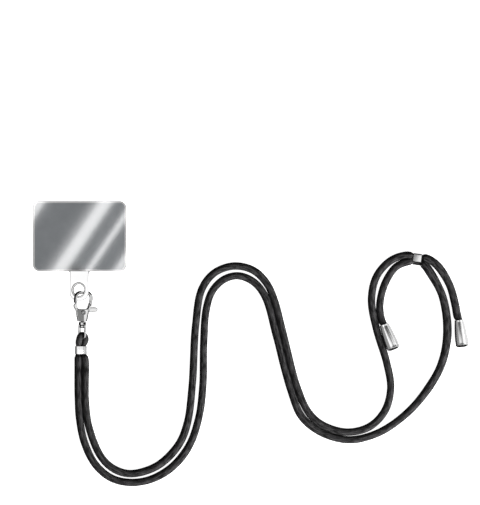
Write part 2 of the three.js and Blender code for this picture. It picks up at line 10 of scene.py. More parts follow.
# %% Load the frame
import bpy
import numpy as np
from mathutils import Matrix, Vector


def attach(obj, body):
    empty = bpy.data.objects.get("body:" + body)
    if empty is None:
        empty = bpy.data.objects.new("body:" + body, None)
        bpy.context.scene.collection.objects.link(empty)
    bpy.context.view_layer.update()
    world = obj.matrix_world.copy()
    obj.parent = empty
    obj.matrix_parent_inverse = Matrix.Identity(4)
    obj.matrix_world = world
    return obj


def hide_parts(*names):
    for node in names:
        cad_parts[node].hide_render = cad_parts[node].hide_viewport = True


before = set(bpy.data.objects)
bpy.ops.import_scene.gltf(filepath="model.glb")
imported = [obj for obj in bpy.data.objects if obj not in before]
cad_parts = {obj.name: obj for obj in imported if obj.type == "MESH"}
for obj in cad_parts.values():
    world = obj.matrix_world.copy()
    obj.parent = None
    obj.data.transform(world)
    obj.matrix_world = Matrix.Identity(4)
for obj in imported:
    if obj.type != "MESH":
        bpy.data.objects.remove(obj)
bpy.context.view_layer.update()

# %% [markdown]
# ## The camera
#
# The photograph looks straight down on the strap, with next to no perspective, so the camera hangs
# high over the middle of the picture with a long lens. The card, the clasp and the cord then keep
# their own widths. One pixel of the photograph is 0.645 mm.

# %% Camera
MM = 0.001
PIXEL = 0.645 * MM
PICTURE = (480 * PIXEL, 505 * PIXEL)
PICTURE_CENTRE = (103.4 * MM, -10.5 * MM)
CAMERA_HEIGHT = 2.6
CAMERA_REACH = 20.0
SENSOR = 36.0


def overhead_camera():
    """A camera over the picture's centre, whose sensor's long side sees the picture's long side."""
    data = bpy.data.cameras.new("overhead")
    data.sensor_width = SENSOR
    data.lens = SENSOR * CAMERA_HEIGHT / max(PICTURE)
    data.clip_end = CAMERA_REACH
    camera = bpy.data.objects.new("overhead", data)
    camera.location = (*PICTURE_CENTRE, CAMERA_HEIGHT)
    bpy.context.scene.collection.objects.link(camera)
    bpy.context.scene.camera = camera
    return camera


overhead_camera()
print("the picture covers", [round(side * 1000, 1) for side in PICTURE], "mm")

# %% [markdown]
# ## Surfaces from rings
#
# Nearly everything here is a tube of some kind: the cord, the wire of the hook, a turned cap, a band.
# So one helper takes an array of rings, joins each ring to the next with quads, and closes the two
# ends. A tube is a line and a radius, a turned piece is a profile turned about an axis, and a plate is
# one outline repeated at several heights.


# %% Mesh helpers
FINE_STEPS = 200


def quads_between(count, sides):
    """Corner numbers of the quads between rings that follow each other, as whole arrays."""
    ring = np.arange(count - 1)[:, None] * sides
    side = np.arange(sides)[None, :]
    after = (side + 1) % sides
    corners = [ring + side, ring + after, ring + sides + after, ring + sides + side]
    return np.stack(corners, axis=-1).reshape(-1, 4)


def mesh_object(name, points, faces, smooth=True):
    """A new object whose mesh has these points and faces."""
    mesh = bpy.data.meshes.new(name)
    mesh.from_pydata(points.tolist(), [], [list(face) for face in faces])
    mesh.polygons.foreach_set("use_smooth", np.full(len(mesh.polygons), smooth))
    mesh.update()
    piece = bpy.data.objects.new(name, mesh)
    bpy.context.scene.collection.objects.link(piece)
    return piece


def loft(name, rings, closed=False):
    """A tube through rings, an array of ring, side and x y z. Its ends are flat, or it closes on itself."""
    count, sides, _ = rings.shape
    points = rings.reshape(-1, 3)
    faces = quads_between(count, sides).tolist()
    if closed:
        last = (count - 1) * sides
        side = np.arange(sides)
        after = (side + 1) % sides
        faces += np.stack([last + side, last + after, after, side], axis=-1).tolist()
    else:
        faces.append(list(range(sides))[::-1])
        faces.append(list(range((count - 1) * sides, count * sides)))
    return mesh_object(name, points, faces)


def slope_at(before, here, after, step_in, step_out):
    """Slope of a smooth line at a point, from its two neighbours and the steps to them."""
    whole = step_in + step_out
    return (here - before) / step_in - (after - before) / whole + (after - here) / step_out


def route_through(points, step):
    """A smooth line through chosen points, with even steps.

    Each stretch is a cubic whose slope at a point comes from its neighbours, weighed by the square
    root of their distances, so a close pair of points makes no loop."""
    known = np.asarray(points, dtype=float)
    known = np.vstack([2 * known[0] - known[1], known, 2 * known[-1] - known[-2]])
    before, start, end, after = known[:-3], known[1:-2], known[2:-1], known[3:]
    stretches = ((before, start), (start, end), (end, after))
    first, middle, last = (np.linalg.norm(b - a, axis=1, keepdims=True) ** 0.5 for a, b in stretches)
    leave = middle * slope_at(before, start, end, first, middle)
    arrive = middle * slope_at(start, end, after, middle, last)
    t = np.linspace(0, 1, FINE_STEPS, endpoint=False)[None, :, None]
    start, end, leave, arrive = (a[:, None, :] for a in (start, end, leave, arrive))
    line = (2 * t**3 - 3 * t**2 + 1) * start + (t**3 - 2 * t**2 + t) * leave
    line = line + (3 * t**2 - 2 * t**3) * end + (t**3 - t**2) * arrive
    line = np.vstack([line.reshape(-1, 3), known[-2]])
    travelled = np.concatenate([[0], np.cumsum(np.linalg.norm(np.diff(line, axis=0), axis=1))])
    stations = np.linspace(0, travelled[-1], max(2, round(travelled[-1] / step) + 1))
    return np.stack([np.interp(stations, travelled, line[:, axis]) for axis in range(3)], axis=1)


def frames_along(line, up=(0, 0, 1)):
    """The two directions across a line at each of its points: one across up, and one near up."""
    ahead = np.gradient(line, axis=0)
    ahead /= np.linalg.norm(ahead, axis=1, keepdims=True)
    across = np.cross(ahead, np.asarray(up, dtype=float))
    across /= np.linalg.norm(across, axis=1, keepdims=True)
    return across, np.cross(across, ahead)


def tube_rings(line, radius, sides, up=(0, 0, 1)):
    """Rings of a tube: each point of the line plus radius times a turning direction across it."""
    across, near_up = frames_along(line, up)
    angle = np.linspace(0, 2 * np.pi, sides, endpoint=False)[None, :, None]
    spoke = across[:, None, :] * np.cos(angle) - near_up[:, None, :] * np.sin(angle)
    return line[:, None, :] + spoke * np.broadcast_to(radius, (len(line), sides))[:, :, None]


print("helpers ready")

# %% [markdown]
# ## The cord
#
# The cord is a round polyester braid, and it is one long piece: it starts in one end cap, runs
# through both bands to the clasp, turns round the bar of the swivel eye and runs back to the other
# cap. The model's cord is 4.4 mm thick, and the braid is 4.9 mm wide, as the photograph shows it. The
# two legs and the bight at the clasp are separate pieces here, and their ends meet out of sight inside
# the lower band.
#
# A tubular braid has two families of yarns that wind opposite ways and pass over and under each other,
# so its skin is a net of small diamonds. Their height comes from one formula over two numbers, the
# turn about the cord and the way along it. The relief is real, about a tenth of a millimetre, so that
# the outline of the cord is a little rough too. The route of each leg is a list of points that were
# chosen on the photograph. Both legs lie on the table.

# %% Cords
CORD_R = 2.2 * MM
BRAID_R = 2.45 * MM
PINCHED_R = 1.56 * MM
PINCH_RUN = 3.0 * MM
BAND_LENGTH = 5.0 * MM
BAND_CENTRE = np.array([0.9, -73.4, 2.2]) * MM
ADJUSTER_CENTRE = np.array([217.6, -14.9, 2.2]) * MM
CORD_SIDES = 36
LEG_STEP = 0.42 * MM
BIGHT_R = 1.92 * MM
BIGHT_SWELL = 0.16 * MM
BIGHT_STEP = 0.36 * MM
BAR_REACH = 2.35 * MM
MOUTH_HALF = 1.6 * MM
YARNS = 12
YARN_RISE = 1.15 * MM
RELIEF = 0.085 * MM

LEFT_ROUTE = [
    (-0.7, -73.6), (-0.85, -79.0), (-0.8, -104.0), (0.0, -117.2), (3.0, -132.4),
    (10.3, -147.2), (20.8, -156.0), (33.4, -158.7), (46.9, -156.3), (60.1, -148.3),
    (70.6, -135.0), (76.9, -116.7), (79.5, -95.9), (80.0, -70.1), (81.7, -47.0),
    (85.9, -34.8), (93.9, -27.4), (102.9, -25.6), (112.6, -29.8), (119.7, -39.1),
    (126.7, -63.6), (135.8, -98.1), (143.3, -116.4), (156.0, -126.6), (173.7, -131.2),
    (192.5, -126.7), (210.2, -114.7), (223.7, -99.4), (233.3, -82.2), (237.0, -61.8),
    (234.0, -39.2), (226.4, -24.0), (222.7, -19.0), (219.9, -16.9), (214.9, -16.2),
    (210.3, -16.8), (203.7, -20.0), (196.8, -30.5), (193.5, -44.3), (194.6, -53.8),
]
RIGHT_ROUTE = [
    (2.5, -73.6), (2.8, -76.9), (3.7, -80.4), (3.7, -104.0), (5.9, -122.3),
    (14.0, -142.3), (22.6, -150.2), (33.4, -153.0), (50.3, -147.8), (63.6, -134.7),
    (69.4, -120.6), (72.6, -95.9), (74.8, -57.2), (78.8, -34.1), (87.1, -23.5),
    (99.6, -19.2), (112.1, -22.1), (120.7, -30.5), (125.7, -41.7), (131.3, -63.1),
    (140.2, -97.3), (147.6, -113.6), (156.3, -121.5), (171.8, -126.2), (186.7, -122.8),
    (196.7, -112.5), (200.5, -97.9), (197.9, -81.3), (191.2, -59.2), (188.1, -40.5),
    (191.6, -25.5), (200.8, -15.5), (210.4, -12.2), (215.3, -12.9), (220.3, -13.6),
    (224.6, -14.6), (231.0, -19.4), (238.5, -31.5), (242.3, -45.1), (243.4, -51.1),
]
LEFT_CAP = ((196.1, -56.8), (202.7, -73.0))
RIGHT_CAP = ((244.5, -54.0), (246.6, -71.1))
CAP_LENGTH = 17.3 * MM
CAP_MOUTH_R = 2.95 * MM
CAP_BASE_R = 4.2 * MM
CAP_BULGE = 0.3 * MM
CAP_SOCKET = 8.0 * MM
CAP_SPARE = 0.6 * MM
IN_CAP_R = 2.25 * MM

# Where the soft cord lies flattened: x and y, how far that reaches, and the share it is wider by
WIDE_PLACES = [
    (237.0, -64.0, 26.0, 0.15), (227.0, -23.0, 8.0, 0.16),
    (56.0, -142.0, 18.0, 0.08), (225.0, -98.0, 14.0, 0.07),
]


def cap_axis(cap):
    """Where a cap's mouth is, and which way its axis runs. The cone lies on its side on the table."""
    mouth, base = (np.array(point) * MM for point in cap)
    climb = np.arctan((CAP_BASE_R - CAP_MOUTH_R) / CAP_LENGTH)
    heading = (base - mouth) / np.linalg.norm(base - mouth)
    start = np.array([*mouth, CAP_MOUTH_R * np.cos(climb) + CAP_BULGE])
    return start, np.array([*(heading * np.cos(climb)), np.sin(climb)])


def smooth_step(value, low, high):
    """0 below low, 1 above high, and a soft rise between."""
    t = np.clip((value - low) / (high - low), 0, 1)
    return t * t * (3 - 2 * t)


def braid_height(turn, way):
    """Height of the braid, 0 to 1, at a turn about the cord and a way along it, both counted in yarns.

    One family of yarns follows turn plus way and the other turn minus way. Which of them is on top
    changes from each crossing to the next, and the one on top is a rounded ridge along its own line."""
    first = turn + way
    second = turn - way
    on_top = (np.floor(first) + np.floor(second)) % 2
    across_first = np.sin(np.pi * (first % 1))
    across_second = np.sin(np.pi * (second % 1))
    ridge = np.where(on_top > 0.5, across_first, across_second)
    along = np.where(on_top > 0.5, across_second, across_first)
    return ridge**0.7 * (0.55 + 0.45 * along**0.5)


def braid_radius(line, base_radius, sides):
    """Radius of the braided cord at every point of every ring, and the numbers that the yarns follow."""
    step = np.linalg.norm(np.diff(line, axis=0), axis=1).mean()
    way = (np.arange(len(line)) * step / YARN_RISE)[:, None]
    turn = (np.arange(sides) * YARNS / sides)[None, :]
    slack = 1 + 0.008 * np.sin(way * 0.37) + 0.006 * np.sin(way * 0.153 + 1.7)
    relief = RELIEF * (braid_height(turn, way) - 1)
    return base_radius[:, None] * slack + relief, np.broadcast_arrays(turn, way)


def braided_cord(name, line, base_radius, sides):
    """A braided tube along a line, with the yarn numbers kept as its UV map for the material."""
    radius, (turn, way) = braid_radius(line, base_radius, sides)
    piece = loft(name, tube_rings(line, radius, sides))
    mesh = piece.data
    corner_point = np.empty(len(mesh.loops), dtype=np.int32)
    mesh.loops.foreach_get("vertex_index", corner_point)
    uv = np.stack([turn.ravel()[corner_point], way.ravel()[corner_point]], axis=1)
    starts = np.arange(len(mesh.polygons) - 2) * 4
    seam = uv[starts[:, None] + np.arange(4)]
    wraps = np.ptp(seam[:, :, 0], axis=1) > YARNS / 2
    seam[wraps, :, 0] += np.where(seam[wraps, :, 0] < YARNS / 2, YARNS, 0)
    uv[: seam.size // 2] = seam.reshape(-1, 2)
    layer = mesh.uv_layers.new(name="yarns")
    layer.data.foreach_set("uv", uv.ravel())
    return piece


def leg_radius(line):
    """Radius along a leg: pinched in both bands, drawn in where its cap begins, wider where it is flat.

    Each wide place adds its share times a bell curve of the distance from that place."""
    from_band = np.linalg.norm(line - BAND_CENTRE, axis=1) - BAND_LENGTH / 2
    from_adjuster = np.linalg.norm(line - ADJUSTER_CENTRE, axis=1) - BAND_LENGTH / 2
    freed = smooth_step(np.minimum(from_band, from_adjuster), 0, PINCH_RUN)
    radius = PINCHED_R + (BRAID_R - PINCHED_R) * freed
    x, y, reach, more = (np.array(WIDE_PLACES)[:, column, None] for column in range(4))
    away = ((line[:, 0] / MM - x) ** 2 + (line[:, 1] / MM - y) ** 2) / reach**2
    radius *= 1 + (more * np.exp(-away)).sum(axis=0)
    step = np.linalg.norm(line[1] - line[0])
    before_cap = np.arange(len(line))[::-1] * step - CAP_SOCKET
    out_of_cap = smooth_step(before_cap, -0.5 * MM, 2.5 * MM)
    return np.minimum(radius, IN_CAP_R + (radius - IN_CAP_R) * out_of_cap)


def cord_leg(name, route, cap, node):
    """One leg of the cord, from inside the lower band to just above the bottom of its cap's socket.

    It lies on the table, so its middle rises with its radius."""
    start, axis = cap_axis(cap)
    points = [(x * MM, y * MM, CORD_R) for x, y in route]
    points += [start, start + axis * (CAP_SOCKET - CAP_SPARE)]
    line = route_through(points, LEG_STEP)
    radius = leg_radius(line)
    line[:, 2] += np.maximum(radius - CORD_R, 0)
    piece = braided_cord(name, line, radius, CORD_SIDES)
    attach(piece, "strap")
    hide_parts(node)
    print(name, "runs", round((len(line) - 1) * LEG_STEP / MM), "mm into its socket")
    return piece, line


SWIVEL = np.array([1.9, 0.0, 4.2]) * MM
EYE_BAR_Y = -65.8
EYE_ROLL = np.radians(54)


def bight_line():
    """The doubled cord's middle: up from the band, round the eye's bar and back down."""
    side = np.array([np.sin(EYE_ROLL), 0, -np.cos(EYE_ROLL)]) * BAR_REACH
    bar = np.array([SWIVEL[0], EYE_BAR_Y * MM, SWIVEL[2]])
    up = np.array([0, 1, 0]) * BAR_REACH
    mouth = BAND_CENTRE + np.array([0, BAND_LENGTH / 2, 0])
    left, right = np.array([-MOUTH_HALF, 0, 0]), np.array([MOUTH_HALF, 0, 0])
    points = [
        BAND_CENTRE + left, mouth + left,
        bar - side + np.array([-0.1, -0.6, 0]) * MM, bar - side * 0.7 + up * 0.7, bar + up,
        bar + side * 0.7 + up * 0.7, bar + side + np.array([0.1, -0.6, 0]) * MM,
        mouth + right, BAND_CENTRE + right,
    ]
    return route_through(points, BIGHT_STEP)


def cord_bight():
    """The bend of the cord at the clasp. It is drawn in where the band holds it, and round the bar."""
    line = bight_line()
    travel = np.abs(np.linspace(-1, 1, len(line)))
    radius = BIGHT_R + BIGHT_SWELL * smooth_step(0.5 - np.abs(travel - 0.45), 0.15, 0.45)
    in_band = smooth_step(line[:, 1] - BAND_CENTRE[1] - BAND_LENGTH / 2, -0.3 * MM, 2.4 * MM)
    radius = PINCHED_R + (radius - PINCHED_R) * in_band
    piece = braided_cord("braid_bight", line, radius, CORD_SIDES)
    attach(piece, "strap")
    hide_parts("cord_bight")
    return piece


braid_left, left_line = cord_leg("braid_left", LEFT_ROUTE, LEFT_CAP, "cord_left")
braid_right, right_line = cord_leg("braid_right", RIGHT_ROUTE, RIGHT_CAP, "cord_right")
braid_bight = cord_bight()
print("cords ready")

# %% [markdown]
# ## Shader maths
#
# A finish is a few numbers worked out from a place on the surface. So that the formulas read like
# formulas, sockets are wrapped in a small class with plus, minus, times and power, and one method
# makes every other node from its type, its settings and its inputs.


# %% Shader helpers
class Value:
    """A number in a node tree. Sums and products of it make Math nodes."""

    def __init__(self, graph, socket):
        self.graph = graph
        self.socket = socket

    def __add__(self, other):
        return self.graph.math("ADD", self, other)

    def __sub__(self, other):
        return self.graph.math("SUBTRACT", self, other)

    def __rsub__(self, other):
        return self.graph.math("SUBTRACT", other, self)

    def __mul__(self, other):
        return self.graph.math("MULTIPLY", self, other)

    def __pow__(self, other):
        return self.graph.math("POWER", self, other)

    def __neg__(self):
        return self.graph.math("MULTIPLY", self, -1.0)

    __radd__ = __add__
    __rmul__ = __mul__

    def wave(self):
        """The sine of this number."""
        return self.graph.math("SINE", self)

    def floor(self):
        """The whole number below this one."""
        return self.graph.math("FLOOR", self)

    def fraction(self):
        """What is left above the whole number."""
        return self.graph.math("FRACT", self)

    def size(self):
        """This number without its sign."""
        return self.graph.math("ABSOLUTE", self)

    def ramp(self, low, high):
        """0 below low, 1 above high, and a soft rise between."""
        inputs = {"Value": self, "From Min": low, "From Max": high}
        return self.graph.node("ShaderNodeMapRange", {"interpolation_type": "SMOOTHSTEP"}, inputs)


class Graph:
    """A node tree that is filled from the code, for a material or for the world."""

    def __init__(self, tree):
        self.tree = tree
        tree.nodes.clear()

    def node(self, kind, settings=None, inputs=None, output=0):
        """A node of this kind with its settings and inputs. Gives back one of its outputs as a Value."""
        made = self.tree.nodes.new(kind)
        for key, setting in (settings or {}).items():
            setattr(made, key, setting)
        for key, given in (inputs or {}).items():
            if isinstance(given, Value):
                self.tree.links.new(given.socket, made.inputs[key])
            else:
                made.inputs[key].default_value = given
        return Value(self, made.outputs[output]) if made.outputs else None

    def math(self, operation, *values):
        """A Math node."""
        return self.node("ShaderNodeMath", {"operation": operation}, dict(enumerate(values)))

    def mix(self, factor, first, second):
        """A colour between two colours."""
        return self.node(
            "ShaderNodeMix", {"data_type": "RGBA"}, {0: factor, 6: first, 7: second}, output=2
        )

    def place(self):
        """x, y and z on the object, in metres."""
        where = self.node("ShaderNodeTexCoord", output="Object")
        return [self.node("ShaderNodeSeparateXYZ", None, {0: where}, output=axis) for axis in "XYZ"]

    def noise(self, size, detail=2.0, stretch=(1, 1, 1)):
        """Soft noise from 0 to 1, whose spots are about this size in metres."""
        where = self.node("ShaderNodeTexCoord", output="Object")
        stretched = self.node(
            "ShaderNodeVectorMath", {"operation": "MULTIPLY"}, {0: where, 1: stretch}
        )
        inputs = {"Vector": stretched, "Scale": 1 / size, "Detail": detail}
        return self.node("ShaderNodeTexNoise", None, inputs)

    def bump(self, height, strength, distance):
        """The surface's normal where its height is this many times the distance."""
        inputs = {"Height": height, "Strength": strength, "Distance": distance}
        return self.node("ShaderNodeBump", None, inputs)


def grey(level):
    """A neutral colour."""
    return (level, level, level, 1.0)


def finish_of(name, build):
    """A new material whose surface is what build makes in its graph."""
    material = bpy.data.materials.new(name)
    material.use_nodes = True
    graph = Graph(material.node_tree)
    surface = build(graph)
    graph.node("ShaderNodeOutputMaterial", None, {"Surface": surface})
    return material


def paint(piece, material):
    """Gives the whole piece this material."""
    piece.data.materials.clear()
    piece.data.materials.append(material)
    return piece


print("shader helpers ready")

# %% [markdown]
# ## The table and the light
#
# The photograph is a product shot on pure white, and the table shows no shadow at all. So the table is
# a light table that glows evenly, and it neither lights the strap nor shows in the metal: that is
# what makes the dark outlines of the photographed chrome.
#
# Chrome shows only what it reflects. The room is made of bands that run up and down the picture:
# white on the right, a grey flag just right of straight up, white again from there to the left, and
# nearly black near the ground. Directions that lean far up or down the picture are dark too. So
# rounded metal gets dark rims, and each flat of the clasp turns either white or grey.
#
# Two glowing cards, a white one and a grey one, stand beside the end caps and show in their flanks. A
# lamp low on the lower right lights the black cord, and the metal doesn't mirror it. Narrow lamps high
# over the card are mirrored in its film, as diagonal streaks and light corners.


# %% Stage
# Bands of the room: where each begins and ends, in radians to the right of straight up
FLAG_START = (-0.02, 0.12)
WHITE_START = (0.24, 0.38)
WHITE_END = (0.90, 1.10)
LEFT_END = (-0.86, -0.76)
DIM_END = (-1.30, -1.15)
# How far a direction leans up or down the picture where the room changes
UPWARD = (0.05, 0.35)
FAR_UP = (0.30, 0.55)
FAR_DOWN = (0.70, 0.90)
# Brightness of the ground and of each band
GROUND, WHITE, FLAG, LEFT, DIM = 0.02, 1.20, 0.24, 0.95, 0.05

FLOOR_HALF = 3.0
FLOOR_DROP = 0.0002
STRIP_HEIGHT = CAMERA_HEIGHT / 2
STRIP_HEADING = np.radians(56)
STRIP_LENGTH = 0.075
STRIP_RADIANCE = 9.0
# Name, offset and width in millimetres, and strength of each streak in the card
STREAKS = [
    ("wide_streak", 1.5, 7.7, 1.0), ("soft_tail", -4.2, 4.5, 0.17), ("narrow_streak", 17.0, 2.7, 1.35),
    ("left_corner_glow", -35.5, 9.0, 1.0), ("right_corner_glow", 33.0, 5.0, 1.0),
]


def floor_finish(graph):
    """White paper that glows."""
    return graph.node(
        "ShaderNodeBsdfPrincipled", None,
        {"Base Color": grey(0.5), "Roughness": 1.0, "Specular IOR Level": 0.0,
         "Emission Color": grey(1.0), "Emission Strength": 1.0},
    )


def make_floor():
    """One white sheet under everything, a hair below the table's height so that no face touches it."""
    corners = FLOOR_HALF * np.array([(-1, -1), (1, -1), (1, 1), (-1, 1)])
    points = np.column_stack([corners, np.full(4, -FLOOR_DROP)])
    floor = mesh_object("table_top", points, [(0, 1, 2, 3)], smooth=False)
    floor.visible_glossy = False
    floor.visible_diffuse = False
    floor.visible_shadow = False
    paint(floor, finish_of("white_table", floor_finish))
    return floor


def make_room():
    """The world's light: the bands as soft ramps of how far a direction leans to the right."""
    world = bpy.data.worlds.new("white_tent")
    bpy.context.scene.world = world
    world.use_nodes = True
    graph = Graph(world.node_tree)
    way = graph.node("ShaderNodeTexCoord", output="Generated")
    x, y, z = (graph.node("ShaderNodeSeparateXYZ", None, {0: way}, output=axis) for axis in "XYZ")
    turn = graph.math("ARCTAN2", x, z)
    white = turn.ramp(*WHITE_START) * (1.0 - turn.ramp(*WHITE_END))
    flag = turn.ramp(*FLAG_START) * (1.0 - turn.ramp(*WHITE_START))
    left = (1.0 - turn.ramp(*FLAG_START)) * turn.ramp(*LEFT_END)
    dim = (1.0 - turn.ramp(*FLAG_START)) * turn.ramp(*DIM_END)
    upward = y.ramp(*UPWARD)
    within = (1.0 - y.ramp(*FAR_UP)) * (1.0 - (-y).ramp(*FAR_DOWN))
    leftward = DIM * dim * upward + LEFT * left * (1.0 - upward)
    light = GROUND + within * (WHITE * white + FLAG * flag + leftward)
    colour = graph.mix(light, grey(0.0), grey(1.0))
    tent = graph.node("ShaderNodeBackground", None, {"Color": colour})
    graph.node("ShaderNodeOutputWorld", None, {"Surface": tent})
    return world


def lamp(name, place, target, size, power):
    """A soft rectangular lamp at a place, turned to face a target."""
    data = bpy.data.lights.new(name, "AREA")
    data.shape = "RECTANGLE"
    data.size, data.size_y = size
    data.energy = power
    made = bpy.data.objects.new(name, data)
    made.location = place
    made.rotation_euler = (Vector(target) - Vector(place)).to_track_quat("-Z", "Y").to_euler()
    bpy.context.scene.collection.objects.link(made)
    return made


def glowing_card(name, place, target, size, radiance):
    """A card that glows evenly toward a target. The camera doesn't see it, and metal mirrors it."""
    made = lamp(name, place, target, size, radiance * np.pi * size[0] * size[1])
    made.visible_camera = False
    return made


def strip_lamp(name, offset, width, strength):
    """A narrow lamp over the card that the camera sees mirrored in it, as a diagonal streak.

    Offset is where the streak's middle crosses the card, to the lower right of the card's middle."""
    right_of = np.array([np.sin(STRIP_HEADING), -np.cos(STRIP_HEADING)])
    seen_at = offset * right_of
    place = seen_at + (seen_at - np.array(PICTURE_CENTRE)) * STRIP_HEIGHT / CAMERA_HEIGHT
    share = 1 + STRIP_HEIGHT / CAMERA_HEIGHT
    size = (width * share, STRIP_LENGTH * share)
    power = STRIP_RADIANCE * strength * np.pi * size[0] * size[1]
    made = lamp(name, (*place, STRIP_HEIGHT), (*place, 0.0), size, power)
    made.rotation_euler = (0.0, 0.0, STRIP_HEADING - np.pi / 2)
    return made


make_floor()
make_room()
low_lamp = lamp("low_right_lamp", (1.2, -1.0, 0.50), (0.1, -0.05, 0.0), (0.9, 0.5), 110.0)
low_lamp.visible_glossy = False
glowing_card("white_card_right", (0.36, -0.03, -0.035), (0.24, -0.03, -0.035), (0.26, 0.33), 0.84)
grey_card = glowing_card("grey_card_left", (0.14, -0.065, 0.02), (0.24, -0.065, 0.02), (0.14, 0.20), 0.26)
grey_card.visible_diffuse = False
for name, offset, width, strength in STREAKS:
    strip_lamp(name, offset * MM, width * MM, strength)
bpy.context.scene.view_settings.view_transform = "Standard"
bpy.context.scene.view_settings.look = "None"
print("stage ready")

# %% [markdown]
# ## The braid's finish
#
# Polyester yarn is a bundle of fine threads. On the real cord each yarn is near black, its crest
# catches a little light, and the crossings between the yarns are pits that stay dark. The material
# paints that light and shade into the colour: a painted highlight along each yarn's crest, and painted
# shade along the yarns' edges and at the crossings. It repeats the formula of the relief on the UV
# map of yarn numbers, so colour and shape agree.


# %% Braid finish
EVEN_SHIFT = 1000.0
THREAD_WAVE = 25.0
YARN_STRETCH = (1.3, 0.22, 1.0)


def braid_finish(graph):
    """Near-black polyester yarns: fine threads run along each yarn. The colour has a painted highlight
    on each yarn's crest, and painted shade on its edges and at the crossings.
    """
    spot = graph.node("ShaderNodeUVMap", {"uv_map": "yarns"})
    turn, way = (graph.node("ShaderNodeSeparateXYZ", None, {0: spot}, output=axis) for axis in "XY")
    first = turn + way
    second = turn - way
    parity = graph.math("MODULO", first.floor() + second.floor() + EVEN_SHIFT, 2.0)
    over = parity.ramp(0.45, 0.55)
    across = first.fraction() * over + second.fraction() * (1.0 - over)
    threads = (across * THREAD_WAVE).wave() * 0.5 + 0.5
    crest = (across * 3.14159).wave()
    inputs = {0: spot, 1: YARN_STRETCH}
    stretched = graph.node("ShaderNodeVectorMath", {"operation": "MULTIPLY"}, inputs)
    inputs = {"Vector": stretched, "Scale": 1.0, "Detail": 3.0}
    streak = graph.node("ShaderNodeTexNoise", None, inputs)
    patches = graph.noise(6.0 * MM, 2.0)
    # Painted light: yarn crests are lighter as a painted highlight, and yarn edges and crossings are darker
    # as painted shade. The noise adds the yarns' own uneven tone.
    painted_crest_light = (crest * 0.45 + over * 0.1 + 0.1) * (0.25 + 1.5 * streak.ramp(0.32, 0.68))
    painted_light_and_tone = painted_crest_light + patches * 0.15 - 0.1
    colour = graph.mix(painted_light_and_tone, (0.0008, 0.0008, 0.0009, 1), (0.042, 0.041, 0.042, 1))
    return graph.node(
        "ShaderNodeBsdfPrincipled", None,
        {"Base Color": colour, "Roughness": 0.72, "Specular IOR Level": 0.12,
         "Normal": graph.bump(threads * 0.5 + crest, 0.5, 0.06 * MM)},
    )


braid = finish_of("black_braid", braid_finish)
for piece in (braid_left, braid_right, braid_bight):
    paint(piece, braid)
print("braid ready")

# %% [markdown]
# ## Metal finishes
#
# The clasp and its eye are cast and nickel plated, so they are mirrors with the small waves of a
# polished casting. The rolled eyelet is lighter and less sharp, and the rivet is a darker steel. The
# two bands are cut from brushed sheet, with fine scratches along one direction. The end caps are
# turned and satin, so their scratches run round the axis.


# %% Metal finishes
def plated(level, rough, wave):
    """A polished, plated casting. Level is how light it is and wave how uneven its polish is."""

    def build(graph):
        cloud = graph.noise(1.3 * MM, 2.0)
        fine = graph.noise(0.25 * MM, 3.0)
        wear = rough + 0.10 * fine.ramp(0.45, 0.8)
        tint = graph.mix(cloud, grey(level * 0.92), grey(level))
        return graph.node(
            "ShaderNodeBsdfPrincipled", None,
            {"Base Color": tint, "Metallic": 1.0, "Roughness": wear,
             "Normal": graph.bump(cloud, wave, 0.05 * MM)},
        )

    return build


def brushed(level, rough, stretch):
    """Brushed sheet. Stretch is large across the scratches and small along them."""

    def build(graph):
        scratch = graph.noise(0.30 * MM, 4.0, stretch)
        cloud = graph.noise(2.0 * MM, 2.0)
        tint = graph.mix(scratch, grey(level * 0.80), grey(level))
        return graph.node(
            "ShaderNodeBsdfPrincipled", None,
            {"Base Color": tint, "Metallic": 1.0,
             "Roughness": rough + 0.08 * scratch + 0.04 * cloud,
             "Normal": graph.bump(scratch, 0.35, 0.02 * MM)},
        )

    return build


nickel = finish_of("plated_casting", plated(0.82, 0.07, 0.15))
eyelet_nickel = finish_of("rolled_eyelet", plated(0.97, 0.22, 0.25))
rivet_nickel = finish_of("rivet_steel", plated(0.42, 0.10, 0.2))
band_steel = finish_of("brushed_band", brushed(0.98, 0.10, (0.12, 1.0, 1.0)))
print("metals ready")

# %% [markdown]
# ## End caps
#
# Each tail ends in a metal cone. It has a thin rim round the mouth, where the cord is drawn in a
# little to fit the socket, a flank that bulges by 0.3 mm, a raised bead just before the base, and a
# rounded end. A cap is turned on a lathe, so it is a profile turned about its own axis, and its edges
# are broken by a small bevel.


# %% End caps
SCRATCHES_PER_METRE = 5200.0
CAP_SIDES = 72


def spokes_of(axis):
    """Two directions at right angles to a lying axis and to each other."""
    first = np.cross(axis, np.array([0.0, 0.0, 1.0]))
    first /= np.linalg.norm(first)
    return first, np.cross(axis, first)


def turned_rings(profile, start, axis, spokes, sides):
    """Rings of a turned piece: start plus height along the axis plus radius times a turning spoke.

    The spoke turns through two directions that are at right angles to the axis."""
    profile, start, axis, first, second = (
        np.asarray(given, dtype=float) for given in (profile, start, axis, *spokes)
    )
    angle = np.linspace(0, 2 * np.pi, sides, endpoint=False)[None, :, None]
    spoke = first * np.cos(angle) + second * np.sin(angle)
    middle = start + profile[:, 1:2] * axis
    return middle[:, None, :] + profile[:, 0][:, None, None] * spoke


def break_edges(piece, width, segments=3, angle=30):
    """Rounds every edge that is sharper than the angle, as a deburred or cast edge is."""
    bevel = piece.modifiers.new("broken_edges", "BEVEL")
    bevel.width = width
    bevel.segments = segments
    bevel.limit_method = "ANGLE"
    bevel.angle_limit = np.radians(angle)
    bevel.harden_normals = True
    return piece


